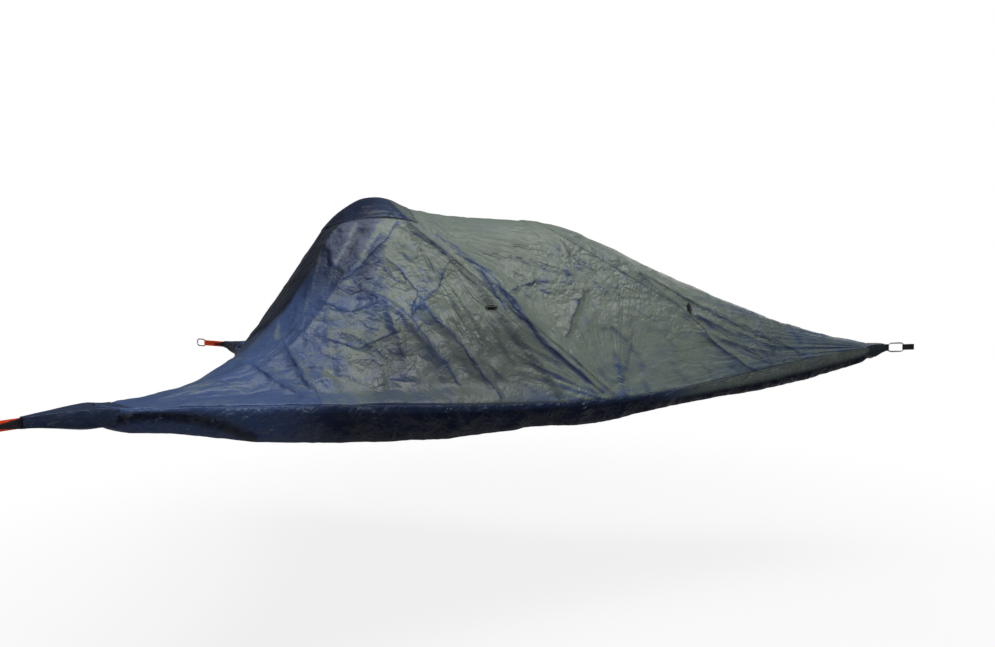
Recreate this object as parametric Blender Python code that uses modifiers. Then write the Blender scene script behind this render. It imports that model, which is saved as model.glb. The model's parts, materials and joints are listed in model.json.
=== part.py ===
"""Tree tent: a three-cornered hammock floor slung by its corners, with two hoop poles, a mesh
inner canopy and a rain fly whose hem hangs over the webbing edges.

Frame: +X runs from the head edge to the tail corner, +Z is up, and the origin is the middle
of the line between the two head corners, level with the three corners. Right is the side at
-Y. Lengths are in metres.
"""
import math

import bmesh
import bpy
from mathutils import Matrix, Vector

TOUCH_GAP = 0.0003

# Floor and the webbing along its edges
TENT_LENGTH = 4.0
HEAD_WIDTH = 2.7
HEAD_EDGE_BOW = 0.42
SIDE_EDGE_BOW = 0.15
HEAD_EDGE_SAG = 0.07
SIDE_EDGE_SAG = 0.165
FLOOR_DROP = 0.05
FLOOR_THICKNESS = 0.0014
FLOOR_SETBACK = 0.14
FLOOR_BELOW_EDGE = 0.004
WEBBING_WIDTH = 0.025
WEBBING_THICKNESS = 0.002
CENTRE_STRAP_WIDTH = 0.038
CENTRE_STRAP_THICKNESS = 0.002

# Hoop poles: where their crowns stand, and how far along the side edge their feet stand
POLE_RADIUS = 0.005
MAIN_CROWN_X = 1.17
MAIN_CROWN_Z = 0.838
MAIN_FOOT_SHARE = 0.583
REAR_CROWN_X = 1.97
REAR_CROWN_Z = 0.711
REAR_FOOT_SHARE = 0.80
FERRULE_WALL = 0.0009
FERRULE_LENGTH = 0.06
MAIN_FERRULE_STATIONS = (8, 13)
REAR_FERRULE_STATIONS = (9,)
CUP_WALL = 0.0015
CUP_OUTSET = 0.003
CUP_FLOOR = 0.002
CUP_DEPTH = 0.018

# Rain fly
FLY_THICKNESS = 0.001
FLY_OVER_EDGE = 0.018
FLY_ABOVE_EDGE = 0.007
FLY_OVER_POLE = 0.0063
SEAM_PULL = 0.0009
ZIP_SPLIT = 0.001
HEM_DROP = 0.13
HEAD_HEM_DROP = 0.09
HEAD_HEM_FADE_SHARE = 0.4
HEAD_HEM_END_SHARE = 0.2
HEM_CURL = 0.035
HEM_BULGE = 0.018
HEAD_TIP_SETBACK = 0.27
TAIL_TIP_SETBACK = 0.2
TIP_BLEND = 0.1
HEAD_TIP_RISE = 0.037
TAIL_TIP_RISE = 0.027
TAIL_TIP_HALF = 0.012

# Hem drop along a side, as shares of the full drop at shares of the edge
SIDE_HEM_PLACE_SHARES = (0.0, 0.03, 0.075, 0.135, 0.18, 0.26, 0.345, 0.41, 0.47, 0.55, 0.62, 0.71, 0.79, 0.89, 0.97, 1.0)
SIDE_HEM_DROP_SHARES = (0.42, 0.58, 0.8, 1.08, 1.17, 1.2, 1.15, 1.0, 0.85, 0.85, 0.66, 0.62, 0.78, 0.8, 0.6, 0.3)

# Nose of the fly: its centre line up to the main hoop, and the front panel's half width
NOSE_HANDLE_X = 0.455
NOSE_HANDLE_Z = 0.12
NOSE_FOOT_X = 0.55
NOSE_FOOT_Z = 0.222
NOSE_TOP_X = 0.875
NOSE_TOP_Z = 0.69
NOSE_STRAIGHT_SHARES = (0.2, 0.76)
BRIM_X = 0.99
BRIM_Z = 0.84
PANEL_FOOT_HALF = 0.45
PANEL_MID_SHARE = 0.54
PANEL_MID_X = 0.80
PANEL_MID_Z = 0.40
PANEL_TOP_HALF = 0.21
PANEL_TOP_X = 0.99
PANEL_TOP_Z = 0.715
PANEL_BEND_SHARE = 0.4
PANEL_LIFT_SHARE = 1 / 6
WING_SWELL = 0.03
WING_PEAK_SHARE = 0.14
WING_FADE_SHARE = 0.25
BRIM_LIFT = 0.0018
BRIM_ROWS = 4

# Ridge of the fly between and behind the hoops: places as shares of the run, and heights
SADDLE_SHARES = (0.12, 0.24, 0.52, 0.8)
SADDLE_HEIGHTS = (0.81, 0.777, 0.745, 0.735)
TAIL_RIDGE_SHARES = (0.084, 0.22, 0.32, 0.44, 0.566, 0.683, 0.81, 0.93)
TAIL_RIDGE_HEIGHTS = (0.677, 0.568, 0.472, 0.37, 0.257, 0.168, 0.099, 0.045)

# Corner straps, rings and the fly's cuffs round them
RING_LENGTH = 0.105
RING_HEIGHT = 0.054
RING_BAR = 0.008
RING_CORNER = 0.014
RING_EDGE = 0.0022
STRAP_WIDTH = 0.03
STRAP_PLY = 0.0022
EYE_RADIUS = 0.0055
EYE_WALL = 0.0022
HEAD_STRAP_REACH = 0.2
HEAD_WEDGE_START = 0.11
HEAD_WEDGE_END = 0.06
WEDGE_SLANT_DEGREES = 20
TAIL_EYE_SETBACK = 0.091
TAIL_WEDGE_START = 0.21
TAIL_WEDGE_END = 0.13
TAIL_LOOP_LENGTH = 0.055
TAIL_LOOP_CORNER = 0.003
CUFF_WALL = 0.001
CUFF_RISE = 0.002
HEAD_CUFF_HALVES = (0.03, 0.023)
TAIL_CUFF_HALVES = (0.027, 0.023)
HEAD_CUFF_CLEARANCE = 0.0016
TAIL_CUFF_CLEARANCE = 0.0004
HEAD_CUFF_START = 0.26
HEAD_CUFF_END = 0.065
TAIL_CUFF_START = 0.19
TAIL_CUFF_END = 0.115
TIE_LENGTH = 0.13
TIE_INNER_HEIGHT = 0.046
TIE_OUTER_HEIGHT = 0.012
TIE_THICKNESS = 0.0018

# Inner canopy
INNER_DROP = 0.035
INNER_THICKNESS = 0.001
INNER_ABOVE_EDGE = 0.005
INNER_NOSE_INSET = 0.06
INNER_FOOT_INSET = 0.04
INNER_DIP = 0.09
INNER_TAIL_SAG = 0.115
DOOR_ROWS = (2, 7)
DOOR_HALF_COLUMNS = 2
DOOR_GAP = 0.0009
CLIP_WIDTH = 0.012
CLIP_WALL = 0.0016
CLIP_STEM = 0.005
CLIP_SLACK = 0.016
MAIN_CLIP_STATION = 4
REAR_CLIP_STATION = 3

# Zips, sliders, guy tabs and toggles
ZIP_TAPE_WIDTH = 0.03
ZIP_TAPE_THICKNESS = 0.0009
ZIP_COIL_WIDTH = 0.007
ZIP_COIL_HEIGHT = 0.002
ZIP_END_MARGIN = 0.01
SLIDER_LENGTH = 0.02
SLIDER_WIDTH = 0.013
SLIDER_HEIGHT = 0.005
SLIDER_EDGE = 0.001
PULL_LENGTH = 0.05
PULL_WIDTH = 0.009
PULL_THICKNESS = 0.0016
TOGGLE_LENGTH = 0.06
TOGGLE_RADIUS = 0.005
TAB_LENGTH = 0.034
TAB_WIDTH = 0.016
TAB_THICKNESS = 0.0015
FRONT_TOGGLE_CELL = (12, 5)
TAIL_TOGGLE_CELL = (0, 12)

# How finely the cloth is divided
FRONT_ROW_SHARES = (0.0, 0.05, 0.12, 0.2, 0.28, 0.36, 0.44, 0.52, 0.6, 0.68, 0.76, 0.84, 0.92, 1.0)
SADDLE_ROW_SHARES = (0.0, 0.12, 0.24, 0.38, 0.52, 0.66, 0.8, 0.9, 1.0)
TAIL_ROW_SHARES = (0.0, 0.08, 0.16, 0.25, 0.34, 0.44, 0.54, 0.64, 0.75, 0.86, 0.95, 1.0)
PANEL_COLUMNS = 7
LEG_COLUMNS = 10
INNER_COLUMNS = 8
INNER_FRONT_ROWS = 9
INNER_MIDDLE_ROWS = 4
INNER_TAIL_ROWS = 7
EDGE_STEPS = 24
TURNED_SIDES = 10
CUFF_STEPS = 4
CUFF_SIDES = 16
HEM_PROFILE_SHARES = ((0.35, 0.6), (0.72, 0.9), (1.0, 0.3))

COLOURS = {
    "fly_slate": ((0.035, 0.055, 0.10), 0.42, 0.0),
    "fly_olive": ((0.075, 0.095, 0.095), 0.42, 0.0),
    "fly_dark": ((0.012, 0.014, 0.018), 0.5, 0.0),
    "floor_cloth": ((0.02, 0.022, 0.025), 0.7, 0.0),
    "black_webbing": ((0.01, 0.01, 0.011), 0.8, 0.0),
    "orange_webbing": ((0.75, 0.09, 0.012), 0.75, 0.0),
    "black_mesh": ((0.012, 0.012, 0.013), 0.8, 0.0),
    "pole_alloy": ((0.55, 0.56, 0.58), 0.3, 1.0),
    "ring_steel": ((0.62, 0.62, 0.62), 0.18, 1.0),
    "black_plastic": ((0.012, 0.012, 0.013), 0.35, 0.0),
    "zip_tape": ((0.01, 0.01, 0.011), 0.7, 0.0),
}

UP = Vector((0, 0, 1))
SIDES = (("right", -1), ("left", 1))


def clear_scene():
    for item in list(bpy.data.objects):
        bpy.data.objects.remove(item)


def new_collection(name):
    collection = bpy.data.collections.new(name)
    bpy.context.scene.collection.children.link(collection)
    return collection


def material(name):
    """The Principled finish of a colour name, made once."""
    if name in bpy.data.materials:
        return bpy.data.materials[name]
    colour, roughness, metallic = COLOURS[name]
    made = bpy.data.materials.new(name)
    made.use_nodes = True
    shader = made.node_tree.nodes["Principled BSDF"]
    shader.inputs["Base Color"].default_value = (*colour, 1)
    shader.inputs["Roughness"].default_value = roughness
    shader.inputs["Metallic"].default_value = metallic
    return made


def smooth_step(share):
    share = min(max(share, 0.0), 1.0)
    return share * share * (3 - 2 * share)


def steps(count, start=0.0, end=1.0):
    return [start + (end - start) * k / count for k in range(count + 1)]


def on_side(point, side):
    """A point of the right side (side -1), or its mirror image (side 1)."""
    return Vector((point.x, point.y * -side, point.z))


def grid_on_side(grid, side):
    return [[on_side(point, side) for point in row] for row in grid]


def between(places, values, share):
    """A value that runs evenly between known ones."""
    for k in range(len(places) - 1):
        if share <= places[k + 1]:
            t = (share - places[k]) / (places[k + 1] - places[k])
            return values[k] + (values[k + 1] - values[k]) * t
    return values[-1]


def rounded(places, values, share):
    """A value on a smooth curve through known ones."""
    k = 0
    while k < len(places) - 2 and places[k + 1] < share:
        k += 1
    first = max(k - 1, 0)
    last = min(k + 2, len(places) - 1)
    width = places[k + 1] - places[k]
    t = (share - places[k]) / width
    slope = (values[k + 1] - values[first]) / (places[k + 1] - places[first]) * width
    next_slope = (values[last] - values[k]) / (places[last] - places[k]) * width
    return (
        values[k] * (2 * t**3 - 3 * t**2 + 1) + slope * (t**3 - 2 * t**2 + t)
        + values[k + 1] * (3 * t**2 - 2 * t**3) + next_slope * (t**3 - t**2)
    )


def bend(start, handle, end, share):
    """A quadratic bend from start to end."""
    return start.lerp(handle, share).lerp(handle.lerp(end, share), share)


def head_edge(share):
    """From the middle of the head edge (0) to the right corner (1)."""
    left = 1 - share * share
    return Vector((HEAD_EDGE_BOW * left, -HEAD_WIDTH / 2 * share, -HEAD_EDGE_SAG * left * left))


def side_edge(share):
    """From the right head corner (0) to the tail corner (1); the main hoop bears it down."""
    start = Vector((0, -HEAD_WIDTH / 2, 0))
    end = Vector((TENT_LENGTH, 0, 0))
    run = end - start
    inward = Vector((-run.y, run.x, 0)).normalized()
    if share < MAIN_FOOT_SHARE:
        sag = smooth_step(share / MAIN_FOOT_SHARE)
    else:
        sag = smooth_step((1 - share) / (1 - MAIN_FOOT_SHARE))
    bow = SIDE_EDGE_BOW * 4 * share * (1 - share)
    return start + run * share + inward * bow - UP * SIDE_EDGE_SAG * sag


def side_run():
    return (side_edge(1) - side_edge(0)).length


def head_run():
    return HEAD_WIDTH / 2


def outward(curve, share):
    """The level direction that points out of the tent, square to an edge."""
    reach = 1 / EDGE_STEPS / 2
    run = curve(min(share + reach, 1)) - curve(max(share - reach, 0))
    square = Vector((run.y, -run.x, 0)).normalized()
    middle = Vector((TENT_LENGTH / 3, 0, 0))
    if square.dot(curve(share) - middle) < 0:
        square = -square
    return square


def corner_frame(corner):
    """A corner's point, and a turn whose X is the level pull of its strap."""
    if corner == "tail":
        return side_edge(1), frame_of(Vector((1, 0, 0)))
    step = 1 / EDGE_STEPS
    along_side = (side_edge(0) - side_edge(step)).normalized()
    along_head = (head_edge(1) - head_edge(1 - step)).normalized()
    pull = along_side + along_head
    pull.z = 0
    side = -1 if corner == "right" else 1
    return on_side(side_edge(0), side), frame_of(on_side(pull.normalized(), side))


def frame_of(axis, up=UP):
    """A turn whose X is an axis and whose Z is as near up as can be."""
    x = axis.normalized()
    y = up.cross(x).normalized()
    z = x.cross(y)
    return Matrix((x, y, z)).transposed()


def at_corner(corner, along, across=0.0, height=0.0):
    """A point beside a corner: along the pull, across it and above it."""
    point, turn = corner_frame(corner)
    return point + turn @ Vector((along, across, height))


def edge_spreads(corner, distance):
    """How far the webbings stand from a corner's centre line, at a distance inside the corner:
    the nearer one, then the further one."""
    point, turn = corner_frame(corner)
    spreads = []
    for curve, run in ((side_edge, side_run()), (head_edge, head_run())):
        if corner == "tail" and curve is head_edge:
            continue
        low = 0.0
        high = 1 / 2
        for _ in range(30):
            middle = (low + high) / 2
            share = middle if curve is side_edge and corner != "tail" else 1 - middle
            local = turn.transposed() @ (on_side(curve(share), -1 if corner != "left" else 1) - point)
            if -local.x < distance:
                low = middle
            else:
                high = middle
        spreads.append(abs(local.y))
    return min(spreads), max(spreads)


def rim(curve, share, start_setback, end_setback, out, rise):
    """A point on a line beside an edge, that starts and ends short of the corners."""
    run = side_run() if curve is side_edge else head_run()
    first = start_setback / run
    last = 1 - end_setback / run
    along = first + (last - first) * share
    return curve(along) + outward(curve, along) * out + UP * rise


def head_tip():
    return at_corner("right", -HEAD_TIP_SETBACK, 0, HEAD_TIP_RISE)


def tail_tip():
    return at_corner("tail", -TAIL_TIP_SETBACK, -TAIL_TIP_HALF, TAIL_TIP_RISE)


def fly_rise():
    return WEBBING_WIDTH / 2 + FLY_ABOVE_EDGE


def fly_side_edge(share):
    """The fly's edge outside the side webbing, drawn in to a tip at each corner."""
    point = rim(side_edge, share, HEAD_TIP_SETBACK, TAIL_TIP_SETBACK, FLY_OVER_EDGE, fly_rise())
    run = side_run() - HEAD_TIP_SETBACK - TAIL_TIP_SETBACK
    point = head_tip().lerp(point, smooth_step(share * run / TIP_BLEND))
    return tail_tip().lerp(point, smooth_step((1 - share) * run / TIP_BLEND))


def fly_head_edge(share):
    point = rim(head_edge, share, 0, HEAD_TIP_SETBACK, FLY_OVER_EDGE, fly_rise())
    return head_tip().lerp(point, smooth_step((1 - share) * head_run() / TIP_BLEND))


def fly_foot_share(kind):
    """The share along the fly's edge that lies over a hoop's foot."""
    run = side_run()
    foot = MAIN_FOOT_SHARE if kind == "main" else REAR_FOOT_SHARE
    return (foot * run - HEAD_TIP_SETBACK) / (run - HEAD_TIP_SETBACK - TAIL_TIP_SETBACK)


def crown(kind):
    if kind == "main":
        return Vector((MAIN_CROWN_X, 0, MAIN_CROWN_Z))
    return Vector((REAR_CROWN_X, 0, REAR_CROWN_Z))


def hoop(top, foot, turn):
    """A half ellipse in a leaning plane; turn is 0 at the crown and 1 at the foot."""
    angle = turn * math.pi / 2
    rise = math.cos(angle)
    return Vector((
        foot.x + (top.x - foot.x) * rise,
        foot.y * math.sin(angle),
        foot.z + (top.z - foot.z) * rise,
    ))


def cup_radius():
    return POLE_RADIUS + TOUCH_GAP + CUP_WALL


def pole_foot(kind):
    """The pole's end, in a cup that rests its rim on the webbing's upper edge."""
    share = MAIN_FOOT_SHARE if kind == "main" else REAR_FOOT_SHARE
    stand = side_edge(share) + outward(side_edge, share) * CUP_OUTSET
    lean = crown(kind) - stand
    lean.y = 0
    slope = lean.normalized()
    rise = WEBBING_WIDTH / 2 + TOUCH_GAP + cup_radius() * abs(slope.x) + (CUP_FLOOR + TOUCH_GAP) * slope.z
    return stand + UP * rise


def pole_line(kind, turn):
    return hoop(crown(kind), pole_foot(kind), turn)


def fly_hoop(kind, turn):
    top = crown(kind) + UP * FLY_OVER_POLE
    return hoop(top, fly_side_edge(fly_foot_share(kind)), turn)


def panel_turn():
    """How far round the main hoop the front panel's corner stands."""
    reach = abs(fly_side_edge(fly_foot_share("main")).y)
    return math.asin(PANEL_TOP_HALF / reach) / (math.pi / 2)


def hoop_turns(kind):
    """Stations down a hoop, shared by its pole and by the cloth that meets over it."""
    count = PANEL_COLUMNS + LEG_COLUMNS
    if kind == "rear":
        return steps(count)
    corner = panel_turn()
    return steps(PANEL_COLUMNS, 0.0, corner) + steps(LEG_COLUMNS, corner, 1.0)[1:]


def nose_line(share):
    """The fly's centre line: a short bend, a straight run for the zip, then over the brim."""
    low, high = NOSE_STRAIGHT_SHARES
    foot = Vector((NOSE_FOOT_X, 0, NOSE_FOOT_Z))
    top = Vector((NOSE_TOP_X, 0, NOSE_TOP_Z))
    if share <= low:
        handle = Vector((NOSE_HANDLE_X, 0, NOSE_HANDLE_Z))
        return bend(fly_head_edge(0), handle, foot, share / low)
    if share <= high:
        return foot.lerp(top, (share - low) / (high - low))
    handle = Vector((BRIM_X, 0, BRIM_Z + FLY_OVER_POLE))
    return bend(top, handle, fly_hoop("main", 0), (share - high) / (1 - high))


def panel_line(share):
    """The seam between the front panel and a side panel, from the head edge to the hoop."""
    foot = fly_head_edge(PANEL_FOOT_HALF / head_run())
    middle_half = PANEL_TOP_HALF + (PANEL_FOOT_HALF - PANEL_TOP_HALF) * PANEL_MID_SHARE
    middle = Vector((PANEL_MID_X, -middle_half, PANEL_MID_Z))
    top = Vector((PANEL_TOP_X, -PANEL_TOP_HALF, PANEL_TOP_Z))
    end = fly_hoop("main", panel_turn())
    low, high = NOSE_STRAIGHT_SHARES
    if share <= high:
        half = (low + high) / 2
        places = (0.0, half, high, 1.0)
        points = (foot, middle, top, end)
        return Vector([rounded(places, [p[axis] for p in points], share) for axis in range(3)])
    handle = top.lerp(end, PANEL_BEND_SHARE) + UP * (end.z - top.z + PANEL_TOP_HALF) * PANEL_LIFT_SHARE
    return bend(top, handle, end, (share - high) / (1 - high))


def ridge(start, end, shares, heights, share):
    places = (0.0, *shares, 1.0)
    values = (start.z, *heights, end.z)
    return Vector((start.x + (end.x - start.x) * share, 0, rounded(places, values, share)))


def coons(bottom, top, inner, outer, u, v):
    """A patch between four lines: u runs from bottom to top, v from inner to outer."""
    across = bottom(v).lerp(top(v), u)
    along = inner(u).lerp(outer(u), v)
    corners = bottom(0).lerp(bottom(1), v).lerp(top(0).lerp(top(1), v), u)
    return across + along - corners


def patch(bottom, top, inner, outer, rows, columns):
    return [[coons(bottom, top, inner, outer, u, v) for v in columns] for u in rows]


def line_at(stations, point_at):
    """A line by share of its stations, for a hoop whose stations aren't even."""
    count = len(stations) - 1

    def line(share):
        place = min(share * count, count)
        k = min(int(place), count - 1)
        return point_at(stations[k] + (stations[k + 1] - stations[k]) * (place - k))

    return line


def front_patch():
    """The right half of the front panel, rounded over the nose."""
    rows = FRONT_ROW_SHARES
    foot = PANEL_FOOT_HALF / head_run()
    columns = steps(PANEL_COLUMNS)
    grid = [[fly_head_edge(v * foot) for v in columns]]
    for u in rows[1:-1]:
        middle = nose_line(u)
        run = panel_line(u) - middle
        grid.append([
            Vector((middle.x + run.x * v * v, middle.y + run.y * v, middle.z + run.z * v * v)) for v in columns
        ])
    grid.append([fly_hoop("main", v * panel_turn()) for v in columns])
    return grid


def side_patch():
    """The right side panel, from the front panel's seam to the side edge, up to the main hoop."""
    foot = PANEL_FOOT_HALF / head_run()
    corner = panel_turn()
    end = fly_foot_share("main")
    columns = steps(LEG_COLUMNS)
    grid = patch(
        lambda v: fly_head_edge(foot + (1 - foot) * v),
        lambda v: fly_hoop("main", corner + (1 - corner) * v),
        panel_line,
        lambda u: fly_side_edge(u * end),
        FRONT_ROW_SHARES, columns,
    )
    for row, u in zip(grid, FRONT_ROW_SHARES):
        swell = WING_SWELL * u / WING_PEAK_SHARE * math.exp(1 - u / WING_PEAK_SHARE)
        swell *= smooth_step((1 - u) / WING_FADE_SHARE)
        for k, v in enumerate(columns):
            row[k] = row[k] + UP * swell * math.sin(math.pi * v)
    return grid


def saddle_patch():
    """The right half of the panel between the two hoops."""
    start = fly_foot_share("main")
    end = fly_foot_share("rear")
    return patch(
        line_at(hoop_turns("main"), lambda t: fly_hoop("main", t)),
        line_at(hoop_turns("rear"), lambda t: fly_hoop("rear", t)),
        lambda u: ridge(fly_hoop("main", 0), fly_hoop("rear", 0), SADDLE_SHARES, SADDLE_HEIGHTS, u),
        lambda u: fly_side_edge(start + (end - start) * u),
        SADDLE_ROW_SHARES, steps(PANEL_COLUMNS + LEG_COLUMNS),
    )


def tail_patch():
    """The right half of the panel from the rear hoop to the tail corner."""
    start = fly_foot_share("rear")
    tip = tail_tip()
    middle = Vector((tip.x, 0, tip.z))
    return patch(
        line_at(hoop_turns("rear"), lambda t: fly_hoop("rear", t)),
        lambda v: middle.lerp(tip, v),
        lambda u: ridge(fly_hoop("rear", 0), middle, TAIL_RIDGE_SHARES, TAIL_RIDGE_HEIGHTS, u),
        lambda u: fly_side_edge(start + (1 - start) * u),
        TAIL_ROW_SHARES, steps(PANEL_COLUMNS + LEG_COLUMNS),
    )


def both_halves(half):
    """A half grid, whose first column is the centre line, with its mirror image."""
    return [[on_side(point, 1) for point in reversed(row[1:])] + list(row) for row in half]


def pulled(grid, border, distance):
    """The grid with one border drawn back, to leave room for the next panel's edge."""
    grid = [list(row) for row in grid]
    rows = len(grid)
    columns = len(grid[0])
    pairs = {
        "first_row": [((0, c), (1, c)) for c in range(columns)],
        "last_row": [((rows - 1, c), (rows - 2, c)) for c in range(columns)],
        "first_column": [((r, 0), (r, 1)) for r in range(rows)],
        "last_column": [((r, columns - 1), (r, columns - 2)) for r in range(rows)],
    }[border]
    for (r, c), (inner_r, inner_c) in pairs:
        run = grid[inner_r][inner_c] - grid[r][c]
        grid[r][c] = grid[r][c] + run.normalized() * distance
    return grid


def lifted(grid, distance):
    """The grid moved along its own normals, up for a sheet whose columns run from left to right."""
    rows = len(grid)
    columns = len(grid[0])
    moved = []
    for r in range(rows):
        line = []
        for c in range(columns):
            across = grid[r][min(c + 1, columns - 1)] - grid[r][max(c - 1, 0)]
            along = grid[min(r + 1, rows - 1)][c] - grid[max(r - 1, 0)][c]
            line.append(grid[r][c] + across.cross(along).normalized() * distance)
        moved.append(line)
    return moved


def place(made, collection, finish, smooth=False):
    made.data.materials.append(material(finish))
    if smooth:
        made.data.shade_smooth()
    collection.objects.link(made)
    return made


def sheet(name, grid, thickness, collection, finish, holes=(), wrap=False, middle=0):
    """Cloth or webbing: an open surface through a grid of points, with a thickness.

    Its cells are cut in two alike on both sides of a middle column."""
    shell = bmesh.new()
    rows = [[shell.verts.new(point) for point in row] for row in grid]
    columns = len(grid[0])
    cells = columns if wrap else columns - 1
    for r in range(len(grid) - 1):
        for c in range(cells):
            if (r, c) in holes:
                continue
            near = rows[r][c]
            beside = rows[r][(c + 1) % columns]
            far = rows[r + 1][(c + 1) % columns]
            above = rows[r + 1][c]
            if c < middle:
                shell.faces.new((near, beside, above))
                shell.faces.new((beside, far, above))
            else:
                shell.faces.new((near, beside, far))
                shell.faces.new((near, far, above))
    loose = [vert for vert in shell.verts if not vert.link_faces]
    bmesh.ops.delete(shell, geom=loose, context="VERTS")
    data = bpy.data.meshes.new(name)
    shell.to_mesh(data)
    shell.free()
    made = place(bpy.data.objects.new(name, data), collection, finish, smooth=True)
    solid = made.modifiers.new("thickness", "SOLIDIFY")
    solid.thickness = thickness
    solid.offset = 0
    return made


def box(name, size, at, turn, collection, finish, edge=0.0, shift=0.0):
    """A block of a size, turned and set with a point of its long middle line at a place.

    That point is the block's centre, or stands off it by a shift."""
    shell = bmesh.new()
    slide = Matrix.Translation((-shift, 0, 0))
    bmesh.ops.create_cube(shell, size=1, matrix=slide @ Matrix.Diagonal((*size, 1)))
    data = bpy.data.meshes.new(name)
    shell.to_mesh(data)
    shell.free()
    made = place(bpy.data.objects.new(name, data), collection, finish)
    made.matrix_world = Matrix.Translation(at) @ turn.to_4x4()
    if edge:
        rounding = made.modifiers.new("edge", "BEVEL")
        rounding.width = edge
        rounding.segments = 2
    return made


def bar(name, points, radius, collection, finish, origin=Vector()):
    """A round bar through points, that stand off its origin."""
    data = bpy.data.curves.new(name, "CURVE")
    data.dimensions = "3D"
    data.bevel_depth = radius
    data.bevel_resolution = 2
    data.use_fill_caps = True
    line = data.splines.new("POLY")
    line.points.add(len(points) - 1)
    for knot, point in zip(line.points, points):
        knot.co = (*point, 1)
    made = place(bpy.data.objects.new(name, data), collection, finish)
    made.location = origin
    return made


def turned(name, profile, foot, axis, collection, finish):
    """A profile of radii and heights turned about an axis that starts at a foot."""
    shell = bmesh.new()
    knots = [shell.verts.new((radius, 0, height)) for radius, height in profile]
    for here, there in zip(knots, knots[1:]):
        shell.edges.new((here, there))
    data = bpy.data.meshes.new(name)
    shell.to_mesh(data)
    shell.free()
    made = place(bpy.data.objects.new(name, data), collection, finish)
    made.matrix_world = Matrix.Translation(foot) @ axis.to_track_quat("Z", "Y").to_matrix().to_4x4()
    spin = made.modifiers.new("spin", "SCREW")
    spin.steps = TURNED_SIDES
    spin.render_steps = TURNED_SIDES
    spin.use_merge_vertices = True
    spin.merge_threshold = TOUCH_GAP / 10
    return made


def outline(name, loops, width, at, turn, collection, finish, upright=False, edge=0.0):
    """A flat outline, with holes if it has more than one loop, drawn out to a width.

    It lies level, or upright along the turn's X."""
    data = bpy.data.curves.new(name, "CURVE")
    data.dimensions = "2D"
    data.fill_mode = "BOTH"
    data.extrude = width / 2 - edge
    data.bevel_depth = edge
    data.bevel_resolution = 0
    data.offset = -edge
    for loop in loops:
        line = data.splines.new("POLY")
        line.points.add(len(loop) - 1)
        for knot, (x, y) in zip(line.points, loop):
            knot.co = (x, y, 0, 1)
        line.use_cyclic_u = True
    made = place(bpy.data.objects.new(name, data), collection, finish)
    stand = Matrix.Rotation(math.pi / 2, 3, "X") if upright else Matrix.Identity(3)
    made.matrix_world = Matrix.Translation(at) @ (turn @ stand).to_4x4()
    return made


def arc(x, y, radius, start, end, count):
    points = []
    for angle in steps(count, math.radians(start), math.radians(end)):
        points.append((x + radius * math.cos(angle), y + radius * math.sin(angle)))
    return points


def rounded_box_loop(low_x, high_x, half_height, radius, count=3):
    inner = half_height - radius
    return (
        arc(high_x - radius, -inner, radius, -90, 0, count)
        + arc(high_x - radius, inner, radius, 0, 90, count)
        + arc(low_x + radius, inner, radius, 90, 180, count)
        + arc(low_x + radius, -inner, radius, 180, 270, count)
    )


def ribbon(curve, shares, half_height):
    return [[curve(s) - UP * half_height for s in shares], [curve(s) + UP * half_height for s in shares]]


def edge_shares(curve):
    """Stations of an edge webbing, from one corner strap to the next."""
    head = (HEAD_WEDGE_START + HEAD_WEDGE_END) / 2
    tail = (TAIL_WEDGE_START + TAIL_WEDGE_END) / 2
    if curve is side_edge:
        run = side_run()
        first = FLOOR_SETBACK / run
        last = 1 - floor_tail_setback() / run
        inside = [first + (last - first) * share for share in rim_shares()]
        return [head / run] + inside + [1 - tail / run]
    run = head_run()
    return steps(INNER_COLUMNS, 0.0, 1 - FLOOR_SETBACK / run) + [1 - head / run]


def rim_shares():
    """Stations along the floor's side edge, shared by the inner canopy and the webbing."""
    main_share = inner_foot_share("main")
    rear_share = inner_foot_share("rear")
    shares = steps(INNER_FRONT_ROWS, 0.0, main_share)
    shares += steps(INNER_MIDDLE_ROWS, main_share, rear_share)[1:]
    return shares + steps(INNER_TAIL_ROWS, rear_share, 1.0)[1:]


def floor_tail_setback():
    return FLOOR_SETBACK + TAIL_WEDGE_START - HEAD_WEDGE_START


def inner_foot_share(kind):
    foot = MAIN_FOOT_SHARE if kind == "main" else REAR_FOOT_SHARE
    run = side_run()
    return (foot * run - FLOOR_SETBACK) / (run - FLOOR_SETBACK - floor_tail_setback())


def make_edge_webbings(tent):
    for name, side in SIDES:
        grid = grid_on_side(ribbon(side_edge, edge_shares(side_edge), WEBBING_WIDTH / 2), side)
        sheet(f"edge_webbing_{name}", grid, WEBBING_THICKNESS, tent, "black_webbing")
    grid = both_halves(ribbon(head_edge, edge_shares(head_edge), WEBBING_WIDTH / 2))
    middle = len(grid[0]) // 2
    sheet("edge_webbing_head", grid, WEBBING_THICKNESS, tent, "black_webbing", middle=middle)


def inside_rim(curve, share, rise, thickness):
    """A point where cloth meets the webbing's inner face."""
    inset = WEBBING_THICKNESS / 2 + TOUCH_GAP + thickness / 2
    if curve is side_edge:
        return rim(side_edge, share, FLOOR_SETBACK, floor_tail_setback(), -inset, rise)
    return rim(head_edge, share, 0, FLOOR_SETBACK, -inset, rise)


def inner_corner(rise):
    return at_corner("right", -FLOOR_SETBACK, 0, rise)


def inner_side_rim(share, rise, thickness):
    point = inside_rim(side_edge, share, rise, thickness)
    return inner_corner(rise).lerp(point, smooth_step(share * side_run() / FLOOR_SETBACK))


def inner_head_rim(share, rise, thickness):
    point = inside_rim(head_edge, share, rise, thickness)
    return inner_corner(rise).lerp(point, smooth_step((1 - share) * head_run() / FLOOR_SETBACK))


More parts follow.
